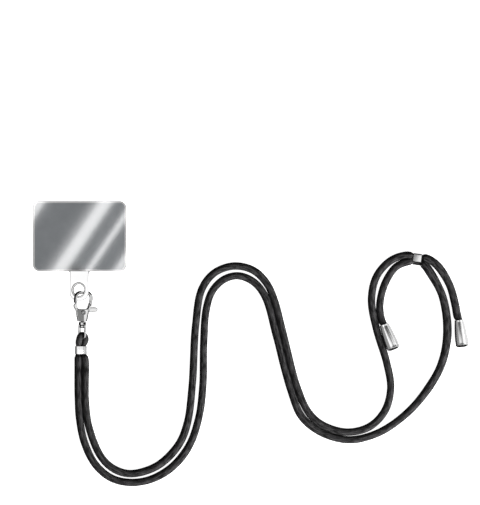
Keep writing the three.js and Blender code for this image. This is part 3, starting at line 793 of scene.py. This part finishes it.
def cap_profile():
    """Radius and height of a cap: socket, rolled rim, bulging flank, raised bead and rounded end.

    The bulge is four times its height times share times the rest, so it is highest halfway."""
    share = np.linspace(0, 1, 14)
    straight = CAP_MOUTH_R + (CAP_BASE_R - CAP_MOUTH_R) * share
    flank = (straight + 4 * CAP_BULGE * share * (1 - share)) / MM
    inside = [
        (0.02, 8.0), (2.34, 8.0), (2.36, 0.5), (2.5, 0.08), (2.7, 0.0), (2.92, 0.1), (3.0, 0.35),
    ]
    outside = list(zip(flank, 0.6 + share * 15.1))
    end = [
        (4.24, 15.85), (4.32, 16.05), (4.30, 16.28), (4.16, 16.4), (4.05, 16.55), (3.86, 16.85),
        (3.45, 17.2), (2.9, 17.42), (2.1, 17.55), (1.1, 17.62), (0.02, 17.64),
    ]
    return inside + outside + end


def satin_cap(graph, axis):
    """Satin turned metal: scratches run round the axis, so the noise is stretched across it."""
    along = graph.node(
        "ShaderNodeVectorMath", {"operation": "DOT_PRODUCT"},
        {0: graph.node("ShaderNodeTexCoord", output="Object"), 1: tuple(axis)}, output="Value",
    )
    inputs = {"W": along, "Scale": SCRATCHES_PER_METRE, "Detail": 3.0}
    line = graph.node("ShaderNodeTexNoise", {"noise_dimensions": "1D"}, inputs)
    cloud = graph.noise(1.6 * MM, 2.0)
    tint = graph.mix(line, grey(0.86), grey(0.96))
    return graph.node(
        "ShaderNodeBsdfPrincipled", None,
        {"Base Color": tint, "Metallic": 1.0, "Roughness": 0.16 + 0.03 * line + 0.04 * cloud,
         "Normal": graph.bump(line, 0.04, 0.01 * MM)},
    )


def end_cap(name, cap, node):
    """One cap, from the bottom of its socket over the mouth and down the flank to the rounded end."""
    start, axis = cap_axis(cap)
    profile = np.asarray(cap_profile()) * MM
    piece = loft(name, turned_rings(profile, start, axis, spokes_of(axis), CAP_SIDES))
    break_edges(piece, 0.08 * MM)
    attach(piece, "strap")
    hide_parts(node)
    return paint(piece, finish_of(name + "_satin", lambda graph: satin_cap(graph, axis)))


cap_left = end_cap("cap_left", LEFT_CAP, "end_cap_left")
cap_right = end_cap("cap_right", RIGHT_CAP, "end_cap_right")
print("caps ready")

# %% [markdown]
# ## Bands
#
# The lower band is crimped for good, and the upper one, the adjuster, slides. Both are strips of sheet
# bent into a flat tube round the two cords, so their section is a rectangle with rounded corners.
# The wall shows at the ends, and halfway between the ends the tube is pressed in a little. The
# adjuster has tighter corners, and its upper face slopes down along its lower side.


# %% Bands
BAND_WIDTH = 7.5 * MM
BAND_HEIGHT = 4.3 * MM
BAND_WALL = 0.45 * MM
BAND_PRESS = 0.035
FALL_RUN = 2.5 * MM


def rounded_rectangle(width, height, corner, steps=8):
    """Points round a rectangle whose corners are quarter circles, with three more on every step."""
    quarter = np.linspace(0, np.pi / 2, steps)
    turns = np.concatenate([quarter + k * np.pi / 2 for k in range(4)])
    signs = np.repeat([(1, 1), (-1, 1), (-1, -1), (1, -1)], steps, axis=0)
    middle = signs * (np.array([width, height]) / 2 - corner)
    outline = middle + corner * np.stack([np.cos(turns), np.sin(turns)], axis=1)
    between = np.linspace(0, 1, 4, endpoint=False)[None, :, None]
    to_next = np.roll(outline, -1, axis=0) - outline
    return (outline[:, None] + between * to_next[:, None]).reshape(-1, 2)


def band(name, centre, heading, corner, node, fall=0.0):
    """A flat tube whose ends show the wall: out along the outside and back along the inside.

    Fall is how much the upper face drops for each step sideways, over the last 2.5 mm of its width."""
    twice = 2 * BAND_WALL
    outside = rounded_rectangle(BAND_WIDTH, BAND_HEIGHT, corner)
    inside = rounded_rectangle(BAND_WIDTH - twice, BAND_HEIGHT - twice, corner - BAND_WALL)
    for section in (outside, inside):
        beyond = np.clip(FALL_RUN - BAND_WIDTH / 2 - section[:, 0], 0, None)
        section[:, 1] -= np.where(section[:, 1] > 0, fall * beyond, 0)
    way = np.linspace(-1, 1, 9)
    pressed = (1 - BAND_PRESS * (1 - way**2)[:, None] * np.array([0.3, 1.0]))[:, None, :]
    sections = np.concatenate([outside[None] * pressed, (inside[None] * pressed)[::-1]])
    along = np.concatenate([way, way[::-1]]) * BAND_LENGTH / 2
    forward = np.array([np.cos(heading), np.sin(heading), 0])
    sideways = np.array([-np.sin(heading), np.cos(heading), 0])
    points = (
        centre + along[:, None, None] * forward
        + sections[:, :, :1] * sideways + sections[:, :, 1:] * np.array([0, 0, 1.0])
    )
    piece = loft(name, points, closed=True)
    break_edges(piece, 0.10 * MM)
    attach(piece, "strap")
    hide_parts(node)
    return paint(piece, band_steel)


lower_band = band("crimp_band", BAND_CENTRE, np.pi / 2, 1.75 * MM, "cord_band")
adjuster = band("slide_band", ADJUSTER_CENTRE, np.radians(-7), 0.9 * MM, "adjuster_band", 0.75)

# %% [markdown]
# ## The clasp
#
# The clasp is one casting: a wire hook that grows out of a thick forked body, with a post below for
# the swivel. The wire has two flats along its outer side. The body's faces slope down to the left from
# a ridge near the middle, and a chamfer runs along their right edge. The parts are closed surfaces
# that run into each other, the wire swept along its line and the plates built from one outline at
# several heights. A fine voxel skin over all of them and a little smoothing then give the soft fillets
# that a casting has at every joint.
#
# The whole clasp lies rolled by 20 degrees about its long axis, with its left side up, because the
# card's tab lifts the hook.

# %% Clasp helpers
CLASP_ROLL = np.radians(20)
OUTLINE_POINTS = 160
RIVET_Y = -49.1
# The two directions that a spoke turns through, about an axis along y and about one along z
ABOUT_Y = ((1, 0, 0), (0, 0, 1))
ABOUT_Z = ((1, 0, 0), (0, 1, 0))


def rolled(points, roll, centre=SWIVEL):
    """Points in millimetres in the clasp's own plane, turned about its long axis and put in place."""
    points = np.asarray(points, dtype=float) * MM
    x, y, z = points[..., 0], points[..., 1], points[..., 2]
    across = x * np.cos(roll) + z * np.sin(roll)
    height = z * np.cos(roll) - x * np.sin(roll)
    return np.stack([across, y, height], axis=-1) + np.array([centre[0], 0, centre[2]])


def even_outline(points, count):
    """The same closed outline with evenly spaced points."""
    closed = np.vstack([points, points[:1]])
    travelled = np.concatenate([[0], np.cumsum(np.linalg.norm(np.diff(closed, axis=0), axis=1))])
    stations = np.linspace(0, travelled[-1], count, endpoint=False)
    return np.stack([np.interp(stations, travelled, closed[:, axis]) for axis in range(2)], axis=1)


def soften(outline, passes):
    """Rounds an outline's corners: each point moves halfway to the mean of its neighbours, repeatedly."""
    for _ in range(passes):
        neighbours = np.roll(outline, 1, axis=0) + np.roll(outline, -1, axis=0)
        outline = 0.5 * outline + 0.25 * neighbours
    return outline


def plate_rings(outline, low, high, round_low, round_high, passes=6):
    """Rings of a plate from low to high whose rims are quarter circles, so it shrinks toward them."""
    edge = soften(even_outline(np.asarray(outline, dtype=float), OUTLINE_POINTS), passes)
    ahead = np.roll(edge, -1, axis=0) - np.roll(edge, 1, axis=0)
    inward = np.stack([-ahead[:, 1], ahead[:, 0]], axis=1)
    inward /= np.linalg.norm(inward, axis=1, keepdims=True)
    quarter = np.linspace(0, np.pi / 2, 7)
    sine, cosine = 1 - np.sin(quarter), 1 - np.cos(quarter)
    shrink = np.concatenate([round_low * sine, round_high * cosine])
    height = np.concatenate([low + round_low * cosine, high - round_high * sine])
    flat = edge[None] + shrink[:, None, None] * inward[None]
    return np.concatenate([flat, np.broadcast_to(height[:, None, None], (*flat.shape[:2], 1))], axis=2)


def wire_rings(points, radius, sides=24, step=0.15, facet=1.0):
    """Rings of a wire through chosen points in the clasp's plane, with broken edges at its two ends.

    A facet below 1 cuts two flats on its outer side, this share of the radius away from its middle.
    They are 41 degrees steep on the first half of the wire and 49 on the second, with a soft change
    halfway."""
    line = route_through(np.column_stack([points, np.zeros(len(points))]), step)
    travelled = np.arange(len(line)) * step
    from_end = np.minimum(travelled, travelled[-1] - travelled) / (0.4 * radius)
    nose = np.sqrt(np.clip(1 - (1 - np.clip(from_end, 0, 1)) ** 2, 0.25, 1))
    angle = np.linspace(0, 2 * np.pi, sides, endpoint=False)
    steep = np.radians(45 - 4 * np.tanh((travelled / travelled[-1] - 0.5) * 12))[:, None]
    reach = np.cos(angle) * np.cos(steep) + np.abs(np.sin(angle)) * np.sin(steep)
    section = np.minimum(1, facet / np.maximum(reach, 0.1))
    return tube_rings(line, radius * nose[:, None] * section, sides)


def joined(name, parts):
    """One object from several sets of rings. Each set is closed by flat ends, or closes on itself."""
    points, faces, first = [], [], 0
    for rings in parts:
        count, sides, _ = rings.shape
        faces += (quads_between(count, sides) + first).tolist()
        points.append(rings.reshape(-1, 3))
        if np.allclose(rings[0], rings[-1]):
            first += count * sides
            continue
        faces.append((np.arange(sides)[::-1] + first).tolist())
        faces.append((np.arange((count - 1) * sides, count * sides) + first).tolist())
        first += count * sides
    return mesh_object(name, np.vstack(points), faces)


def cast_skin(piece, voxel, smoothing):
    """A voxel skin over overlapping parts, smoothed, as a casting has a fillet at every joint."""
    skin = piece.modifiers.new("skin", "REMESH")
    skin.mode = "VOXEL"
    skin.voxel_size = voxel
    skin.use_smooth_shade = True
    soft = piece.modifiers.new("soft", "SMOOTH")
    soft.factor = 0.5
    soft.iterations = smoothing
    return piece


HOOK_LINE = [
    (4.3, -47.2), (5.15, -44.4), (5.85, -42), (6.1, -40), (5.7, -38.1), (4.5, -36.7), (2.6, -35.95),
    (0.3, -35.8), (-2.3, -36.1), (-3.9, -37.1), (-4.75, -38.9), (-4.95, -40.8), (-4.95, -42.9),
]
HOOK_WIRE_R = 1.3
HOOK_FACET = 0.52
EYE_WIRE_R = 0.8
CROWN_TOP = -55.2
SKIN = 0.12 * MM
LEVER_SKIN = 0.10 * MM

# The body in millimetres: half its thickness, its foot, and how its flank leans outward
BODY_HALF = 2.1
FORK_HALF = 0.75
FOOT_Y = -54.9
FOOT_HALF = 3.0
FLANK_LEAN = 0.21
# Only what is farther out than this is shaped, and in full after this depth
SHAPED_FROM = 1.2
SHAPED_DEPTH = 0.9
RIDGE_X = 0.5
RIDGE_FALL = 0.26
CHAMFER_WIDTH = 1.2
CHAMFER_FALL = 1.1


def ridged(rings):
    """A plate of the body with inner rings on both faces, a ridge and a chamfered right edge.

    Each inner ring is the rim drawn in toward its middle. The faces fall to the left from the ridge,
    which runs just right of the middle."""
    share = np.linspace(1, 0.03, 9)[1:, None, None]
    faces = [rim.mean(axis=0) + share * (rim - rim.mean(axis=0)) for rim in (rings[0], rings[-1])]
    rings = np.concatenate([faces[0][::-1], rings, faces[1]])
    outer = np.clip((np.abs(rings[..., 2]) - SHAPED_FROM) / SHAPED_DEPTH, 0, 1)
    slope = np.clip(RIDGE_X - rings[..., 0], 0, None) * RIDGE_FALL
    right_edge = FOOT_HALF + (rings[..., 1] - FOOT_Y) * FLANK_LEAN
    past_chamfer = np.clip(rings[..., 0] - right_edge + CHAMFER_WIDTH, 0, CHAMFER_WIDTH)
    ceiling = BODY_HALF - CHAMFER_FALL * past_chamfer
    rings[..., 2] -= np.sign(rings[..., 2]) * outer * slope
    rings[..., 2] = np.clip(rings[..., 2], -ceiling, ceiling)
    return rings


def clasp_hook():
    """The hook, the two cheeks of the fork, the block below them, the shoulder and the post."""
    block = [(-FOOT_HALF, FOOT_Y), (FOOT_HALF, FOOT_Y), (3.66, -51.7), (-3.66, -51.7)]
    cheek = [
        (-3.55, -52.6), (3.55, -52.6), (4.4, -48.2), (4.2, -47.2), (3.4, -46.9), (-3.4, -46.9),
        (-4.2, -47.2), (-4.4, -48.2),
    ]
    shoulder = [
        (1.0, -48.4), (4.4, -48.4), (5.0, -46.9), (5.9, -44.6), (4.3, -44.4), (3.7, -46.2), (2.6, -46.9),
    ]
    bridge = [(4.0, -45.4), (5.5, -45.4), (6.0, -44.0), (4.4, -44.0)]
    post = [(1.1, -1.0), (1.1, 2.6), (1.9, 2.6), (1.9, 3.7), (1.55, 4.15), (0.9, 4.3)]
    parts = [
        wire_rings(HOOK_LINE, HOOK_WIRE_R, sides=32, facet=HOOK_FACET),
        ridged(plate_rings(cheek, FORK_HALF, BODY_HALF, 0.15, 0.4)),
        ridged(plate_rings(cheek, -BODY_HALF, -FORK_HALF, 0.4, 0.15)),
        ridged(plate_rings(block, -BODY_HALF, BODY_HALF, 0.4, 0.4, 3)),
        plate_rings(shoulder, FORK_HALF, 1.6, 0.1, 0.5),
        plate_rings(shoulder, -1.6, -FORK_HALF, 0.5, 0.1),
        plate_rings(bridge, -1.4, 1.4, 0.4, 0.4),
        turned_rings(post, (0, FOOT_Y, 0), (0, -1, 0), ABOUT_Y, 32),
    ]
    piece = joined("hook_casting", [rolled(rings, CLASP_ROLL) for rings in parts])
    cast_skin(piece, SKIN, 10)
    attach(piece, "clasp")
    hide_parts("clasp_hook")
    return paint(piece, nickel)


def gate_lever():
    """The lever: a thin plate on the rivet, a thicker arm at the mouth of the hook, and the thumb tab."""
    turn = np.linspace(0, np.pi, 7)
    thumb = [(10.5 - 1.45 + 1.45 * np.sin(t), -47.35 - 1.45 * np.cos(t)) for t in turn]
    hub = [(2.0 * np.cos(t), RIVET_Y + 2.0 * np.sin(t)) for t in np.radians([216, 250, 290, 324])]
    plate = [
        (-5.8, -44.3), (-5.75, -45.6), (-4.4, -48.1), *hub, (4.4, -48.8), *thumb, (5.3, -45.9),
        (0.0, -47.1), (-2.6, -46.8), (-3.9, -45.2), (-4.1, -42.7),
    ]
    arm = [
        (-5.8, -44.25), (-5.75, -45.3), (-5.15, -46.6), (-3.3, -46.6), (-3.95, -45.2), (-4.1, -42.72),
        (-4.95, -43.3),
    ]
    parts = [plate_rings(plate, -0.65, 0.65, 0.6, 0.6, 3), plate_rings(arm, -0.9, 0.9, 0.3, 0.3, 3)]
    piece = joined("lever_casting", [rolled(rings, CLASP_ROLL) for rings in parts])
    cast_skin(piece, LEVER_SKIN, 3)
    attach(piece, "gate")
    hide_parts("gate")
    return paint(piece, nickel)


def rivet():
    """A rivet through the fork with a domed head on each side and a dimple in the upper one."""
    profile = [
        (0.02, -2.55), (0.7, -2.66), (1.25, -2.6), (1.55, -2.42), (1.65, -2.25), (1.6, -2.12),
        (0.8, -2.12), (0.8, 2.12), (1.6, 2.12), (1.65, 2.3), (1.52, 2.62), (1.22, 2.84), (0.95, 2.86),
        (0.72, 2.7), (0.55, 2.36), (0.02, 2.3),
    ]
    rings = turned_rings(profile, (0, RIVET_Y, 0), (0, 0, 1), ABOUT_Z, 40)
    piece = loft("rivet_pin", rolled(rings, CLASP_ROLL))
    break_edges(piece, 0.05 * MM, 2, 40)
    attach(piece, "clasp")
    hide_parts("gate_rivet")
    return paint(piece, rivet_nickel)


def swivel_eye():
    """A ring round the post and a stirrup of wire that carries the cord, in one piece."""
    crown = [
        (1.4, 0.1), (1.5, 0.0), (2.2, 0.0), (2.36, 0.12), (2.42, 0.5), (2.42, 1.5), (2.36, 1.88),
        (2.2, 2.0), (1.5, 2.0), (1.4, 1.9), (1.4, 0.1),
    ]
    half = [
        (1.9, -56.2), (2.85, -56.55), (3.2, -57.8), (3.2, -61.0), (3.2, -64.2), (2.65, -65.3),
        (1.6, EYE_BAR_Y),
    ]
    wire = half + [(0.0, EYE_BAR_Y)] + [(-x, y) for x, y in reversed(half)]
    parts = [
        turned_rings(crown, (0, CROWN_TOP, 0), (0, -1, 0), ABOUT_Y, 48),
        wire_rings(wire, EYE_WIRE_R),
    ]
    piece = joined("eye_casting", [rolled(rings, -EYE_ROLL) for rings in parts])
    cast_skin(piece, SKIN, 3)
    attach(piece, "strap")
    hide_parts("swivel_eye")
    return paint(piece, nickel)


clasp_hook()
gate_lever()
rivet()
swivel_eye()
print("clasp ready")

# %% [markdown]
# ## The tether card
#
# The card is one sheet of clear film, 0.7 mm thick: a broad pad and a narrow tab. The tab rises to the
# hook, and its right side turns up. Its mid surface is a grid whose rows follow the rounded corners,
# and round the eyelet the grid turns into rings that run from the tab's edge in to the hole. A
# thickness and a fine rounded rim follow.

# %% Card
CARD_T = 0.7 * MM
CARD_RIGHT = 30.0
CARD_CORNER = 4.0
TAB_X = -0.2
TAB_HALF = 6.1
TAB_FILLET = 1.7
TAB_CORNER = 5.0
TAB_END_Y = -41.4
PAD_BASE_Y = -22.5
PAD_TOP_Y = 22.5
EYELET_Y = -34.7
EYELET_HOLE = 4.4
RAMP_END_Y = -29.3
TAB_RISE = 4.11
TAB_TWIST = np.radians(20)
TAB_COLUMNS = 17
SIDE_COLUMNS = 14
FILM_SEAM = (-22.9, -22.3)


def tab_bend(y):
    """0 on the pad, 1 at the eyelet."""
    return 1 - smooth_step(y, RAMP_END_Y, PAD_BASE_Y)


def lifted(x, y):
    """Points of the card's mid surface over x and y: the tab rises and twists as it leaves the pad."""
    z = CARD_T / MM / 2 + tab_bend(y) * (TAB_RISE + (x - TAB_X) * np.tan(TAB_TWIST))
    return np.stack([x, y, z], axis=-1) * MM


def pad_points():
    """Rows of the pad from its top edge to its lower edge, as x and y, and the tab's columns in them."""
    quarter = np.radians(np.linspace(90, 0, 8))
    top = PAD_TOP_Y - CARD_CORNER + CARD_CORNER * np.sin(quarter)
    inset = CARD_CORNER * (1 - np.cos(quarter))
    middle = np.linspace(PAD_TOP_Y - CARD_CORNER, PAD_BASE_Y + CARD_CORNER, 34)[1:-1]
    rows = np.concatenate([top, middle, -top[::-1]])
    ends = CARD_RIGHT - np.concatenate([inset, np.zeros(len(middle)), inset[::-1]])
    root = TAB_HALF + TAB_FILLET
    share = np.linspace(0, 1, SIDE_COLUMNS + 1)[:-1, None]
    left = -ends + share * (TAB_X - root + ends)
    middle_x = TAB_X + np.linspace(-root, root, TAB_COLUMNS)[:, None] + 0 * rows
    right = (TAB_X + root) + (1 - share[::-1]) * (ends - TAB_X - root)
    x = np.concatenate([left, middle_x, right]).T
    tab_columns = slice(SIDE_COLUMNS, SIDE_COLUMNS + TAB_COLUMNS)
    return x, np.broadcast_to(rows[:, None], x.shape), tab_columns


def tab_points():
    """Rows of the tab from the pad to the eyelet's rings. The first rows follow the fillets."""
    quarter = np.radians(np.linspace(0, 90, 9))[1:]
    fillet = PAD_BASE_Y - TAB_FILLET * (1 - np.cos(quarter))
    narrow = TAB_FILLET * (1 - np.sin(quarter))
    rows = np.concatenate([fillet, np.linspace(fillet[-1], RAMP_END_Y, 12)[1:]])
    half = TAB_HALF + np.concatenate([narrow, np.zeros(11)])
    x = TAB_X + half[:, None] * np.linspace(-1, 1, TAB_COLUMNS)
    return x, np.broadcast_to(rows[:, None], x.shape)


def ring_points(top_row):
    """Rings from the tab's edge in to the hole, as x and y. The first starts with the tab's last row."""
    side = np.linspace(RAMP_END_Y, TAB_END_Y + TAB_CORNER, 7)[1:]
    quarter = np.radians(np.linspace(0, 90, 12))[1:]
    corner_y = TAB_END_Y + TAB_CORNER - TAB_CORNER * np.sin(quarter)
    corner_x = TAB_HALF - TAB_CORNER * (1 - np.cos(quarter))
    down_x = TAB_X + np.concatenate([np.full(6, TAB_HALF), corner_x])
    down_y = np.concatenate([side, corner_y])
    edge_x = np.concatenate([top_row, down_x, 2 * TAB_X - down_x[::-1]])
    edge_y = np.concatenate([np.full(len(top_row), RAMP_END_Y), down_y, down_y[::-1]])
    angle = np.arctan2(edge_y - EYELET_Y, edge_x - TAB_X)
    share = np.linspace(0, 1, 7)[:, None]
    x = edge_x + share * (TAB_X + EYELET_HOLE * np.cos(angle) - edge_x)
    y = edge_y + share * (EYELET_Y + EYELET_HOLE * np.sin(angle) - edge_y)
    return x, y


def grid_faces(numbers, wrap=False):
    """Quads between the rows of an array of point numbers."""
    after = np.roll(numbers, -1, axis=1)
    last = None if wrap else -1
    stack = [numbers[:-1, :last], numbers[1:, :last], after[1:, :last], after[:-1, :last]]
    return np.stack(stack, axis=-1).reshape(-1, 4).tolist()


def tether_card():
    """The pad's grid, the tab's grid and the rings share their rows, so it is one sheet.

    The rings are numbered from the tab's last row on, because their first ring starts with it."""
    pad_x, pad_y, tab_columns = pad_points()
    tab_x, tab_y = tab_points()
    ring_x, ring_y = ring_points(tab_x[-1])
    pad_numbers = np.arange(pad_x.size).reshape(pad_x.shape)
    tab_numbers = pad_x.size + np.arange(tab_x.size).reshape(tab_x.shape)
    ring_numbers = tab_numbers[-1, 0] + np.arange(ring_x.size).reshape(ring_x.shape)
    faces = grid_faces(pad_numbers)
    faces += grid_faces(np.vstack([pad_numbers[-1:, tab_columns], tab_numbers]))
    faces += grid_faces(ring_numbers, wrap=True)
    x = np.concatenate([pad_x.ravel(), tab_x.ravel(), ring_x.ravel()[TAB_COLUMNS:]])
    y = np.concatenate([pad_y.ravel(), tab_y.ravel(), ring_y.ravel()[TAB_COLUMNS:]])
    piece = mesh_object("tether_sheet", lifted(x, y), faces)
    thick = piece.modifiers.new("thickness", "SOLIDIFY")
    thick.thickness = CARD_T
    thick.offset = 0.0
    thick.use_even_offset = True
    break_edges(piece, 0.14 * MM, 2, 50)
    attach(piece, "clasp")
    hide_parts("card")
    return piece


def inside_box(graph, x, y, middle, half, corner):
    """How far a place is inside a rectangle with rounded corners, in metres, and less than 0 outside."""
    off_x = (x - middle[0]).size() - (half[0] - corner)
    off_y = (y - middle[1]).size() - (half[1] - corner)
    out_x = graph.math("MAXIMUM", off_x, 0.0)
    out_y = graph.math("MAXIMUM", off_y, 0.0)
    beyond = graph.math("MINIMUM", graph.math("MAXIMUM", off_x, off_y), 0.0)
    return corner - beyond - (out_x * out_x + out_y * out_y) ** 0.5


def film_finish(graph):
    """Smoky glossy film on the pad, and on the tab a lighter film with painted glow.

    The pad has a painted highlight, a lighter line along its rim, and painted shade, a dark line
    along its cut edge. The tab's emission is painted light: it stands in for the light table's glow
    through the film, so the tab is nearly white. Its edge is a faint grey line of painted shade,
    where that glow is weaker."""
    x, y, _ = graph.place()
    pad_half = (CARD_RIGHT * MM, PAD_TOP_Y * MM)
    in_pad = inside_box(graph, x, y, (0.0, 0.0), pad_half, CARD_CORNER * MM)
    tab_top = PAD_BASE_Y + 3 * TAB_CORNER
    tab_middle = (TAB_X * MM, (tab_top + TAB_END_Y) / 2 * MM)
    tab_half = (TAB_HALF * MM, (tab_top - TAB_END_Y) / 2 * MM)
    in_tab = inside_box(graph, x, y, tab_middle, tab_half, TAB_CORNER * MM)
    on_tab = 1.0 - y.ramp(FILM_SEAM[0] * MM, FILM_SEAM[1] * MM)
    # The next two masks mark painted light: a lighter line along the pad's rim is a painted highlight, and
    # a grey line along the tab's edge is painted shade.
    painted_rim_highlight = 1.0 - in_pad.ramp(0.85 * MM, 1.10 * MM)
    painted_tab_outline = 1.0 - in_tab.ramp(0.25 * MM, 0.60 * MM)
    cloud = graph.noise(9.0 * MM, 2.0)
    pad = graph.mix(cloud, (0.050, 0.055, 0.060, 1), (0.072, 0.078, 0.084, 1))
    pad = graph.mix(painted_rim_highlight, pad, grey(0.24))
    # Painted shade: a dark line along the pad's cut edge.
    pad = graph.mix(in_pad.ramp(0.15 * MM, 0.40 * MM), grey(0.02), pad)
    # The tab's emission is a painted glow that stands in for the light table's light through the film. It
    # is weaker along the tab's edge, where the grey outline is painted shade.
    tab = graph.mix(painted_tab_outline, grey(0.20), grey(0.08))
    painted_table_glow = graph.mix(on_tab, grey(0.0), graph.mix(painted_tab_outline, grey(0.93), grey(0.36)))
    return graph.node(
        "ShaderNodeBsdfPrincipled", None,
        {"Base Color": graph.mix(on_tab, pad, tab), "Roughness": 0.036, "IOR": 1.8,
         "Emission Color": painted_table_glow, "Emission Strength": 1.0},
    )


card = tether_card()
paint(card, finish_of("film_with_painted_glow", film_finish))
print("card ready")

# %% [markdown]
# ## The eyelet
#
# A thin metal ring is rolled over on both sides of the sheet, so its section is a soft C round the
# hole's edge, and it leans with the tab.


# %% Eyelet
EYELET_SIDES = 96


def eyelet():
    """The rolled section, turned about the eyelet's own leaning axis."""
    profile = [
        (3.8, -0.35), (3.85, -0.56), (4.0, -0.72), (4.25, -0.78), (4.75, -0.76), (5.05, -0.68),
        (5.1, -0.55), (5.02, -0.5), (4.3, -0.5), (4.25, 0.5), (5.02, 0.5), (5.1, 0.55), (5.05, 0.68),
        (4.75, 0.76), (4.25, 0.78), (4.0, 0.72), (3.85, 0.56), (3.8, 0.35),
    ]
    rings = turned_rings(profile, (0, EYELET_Y, 0), (0, 0, 1), ABOUT_Z, EYELET_SIDES)
    middle = np.array([TAB_X, 0, TAB_RISE + 0.35]) * MM
    piece = loft("eyelet_roll", rolled(rings, -TAB_TWIST, middle), closed=True)
    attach(piece, "clasp")
    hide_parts("eyelet")
    return paint(piece, eyelet_nickel)


eyelet()
print("eyelet ready")
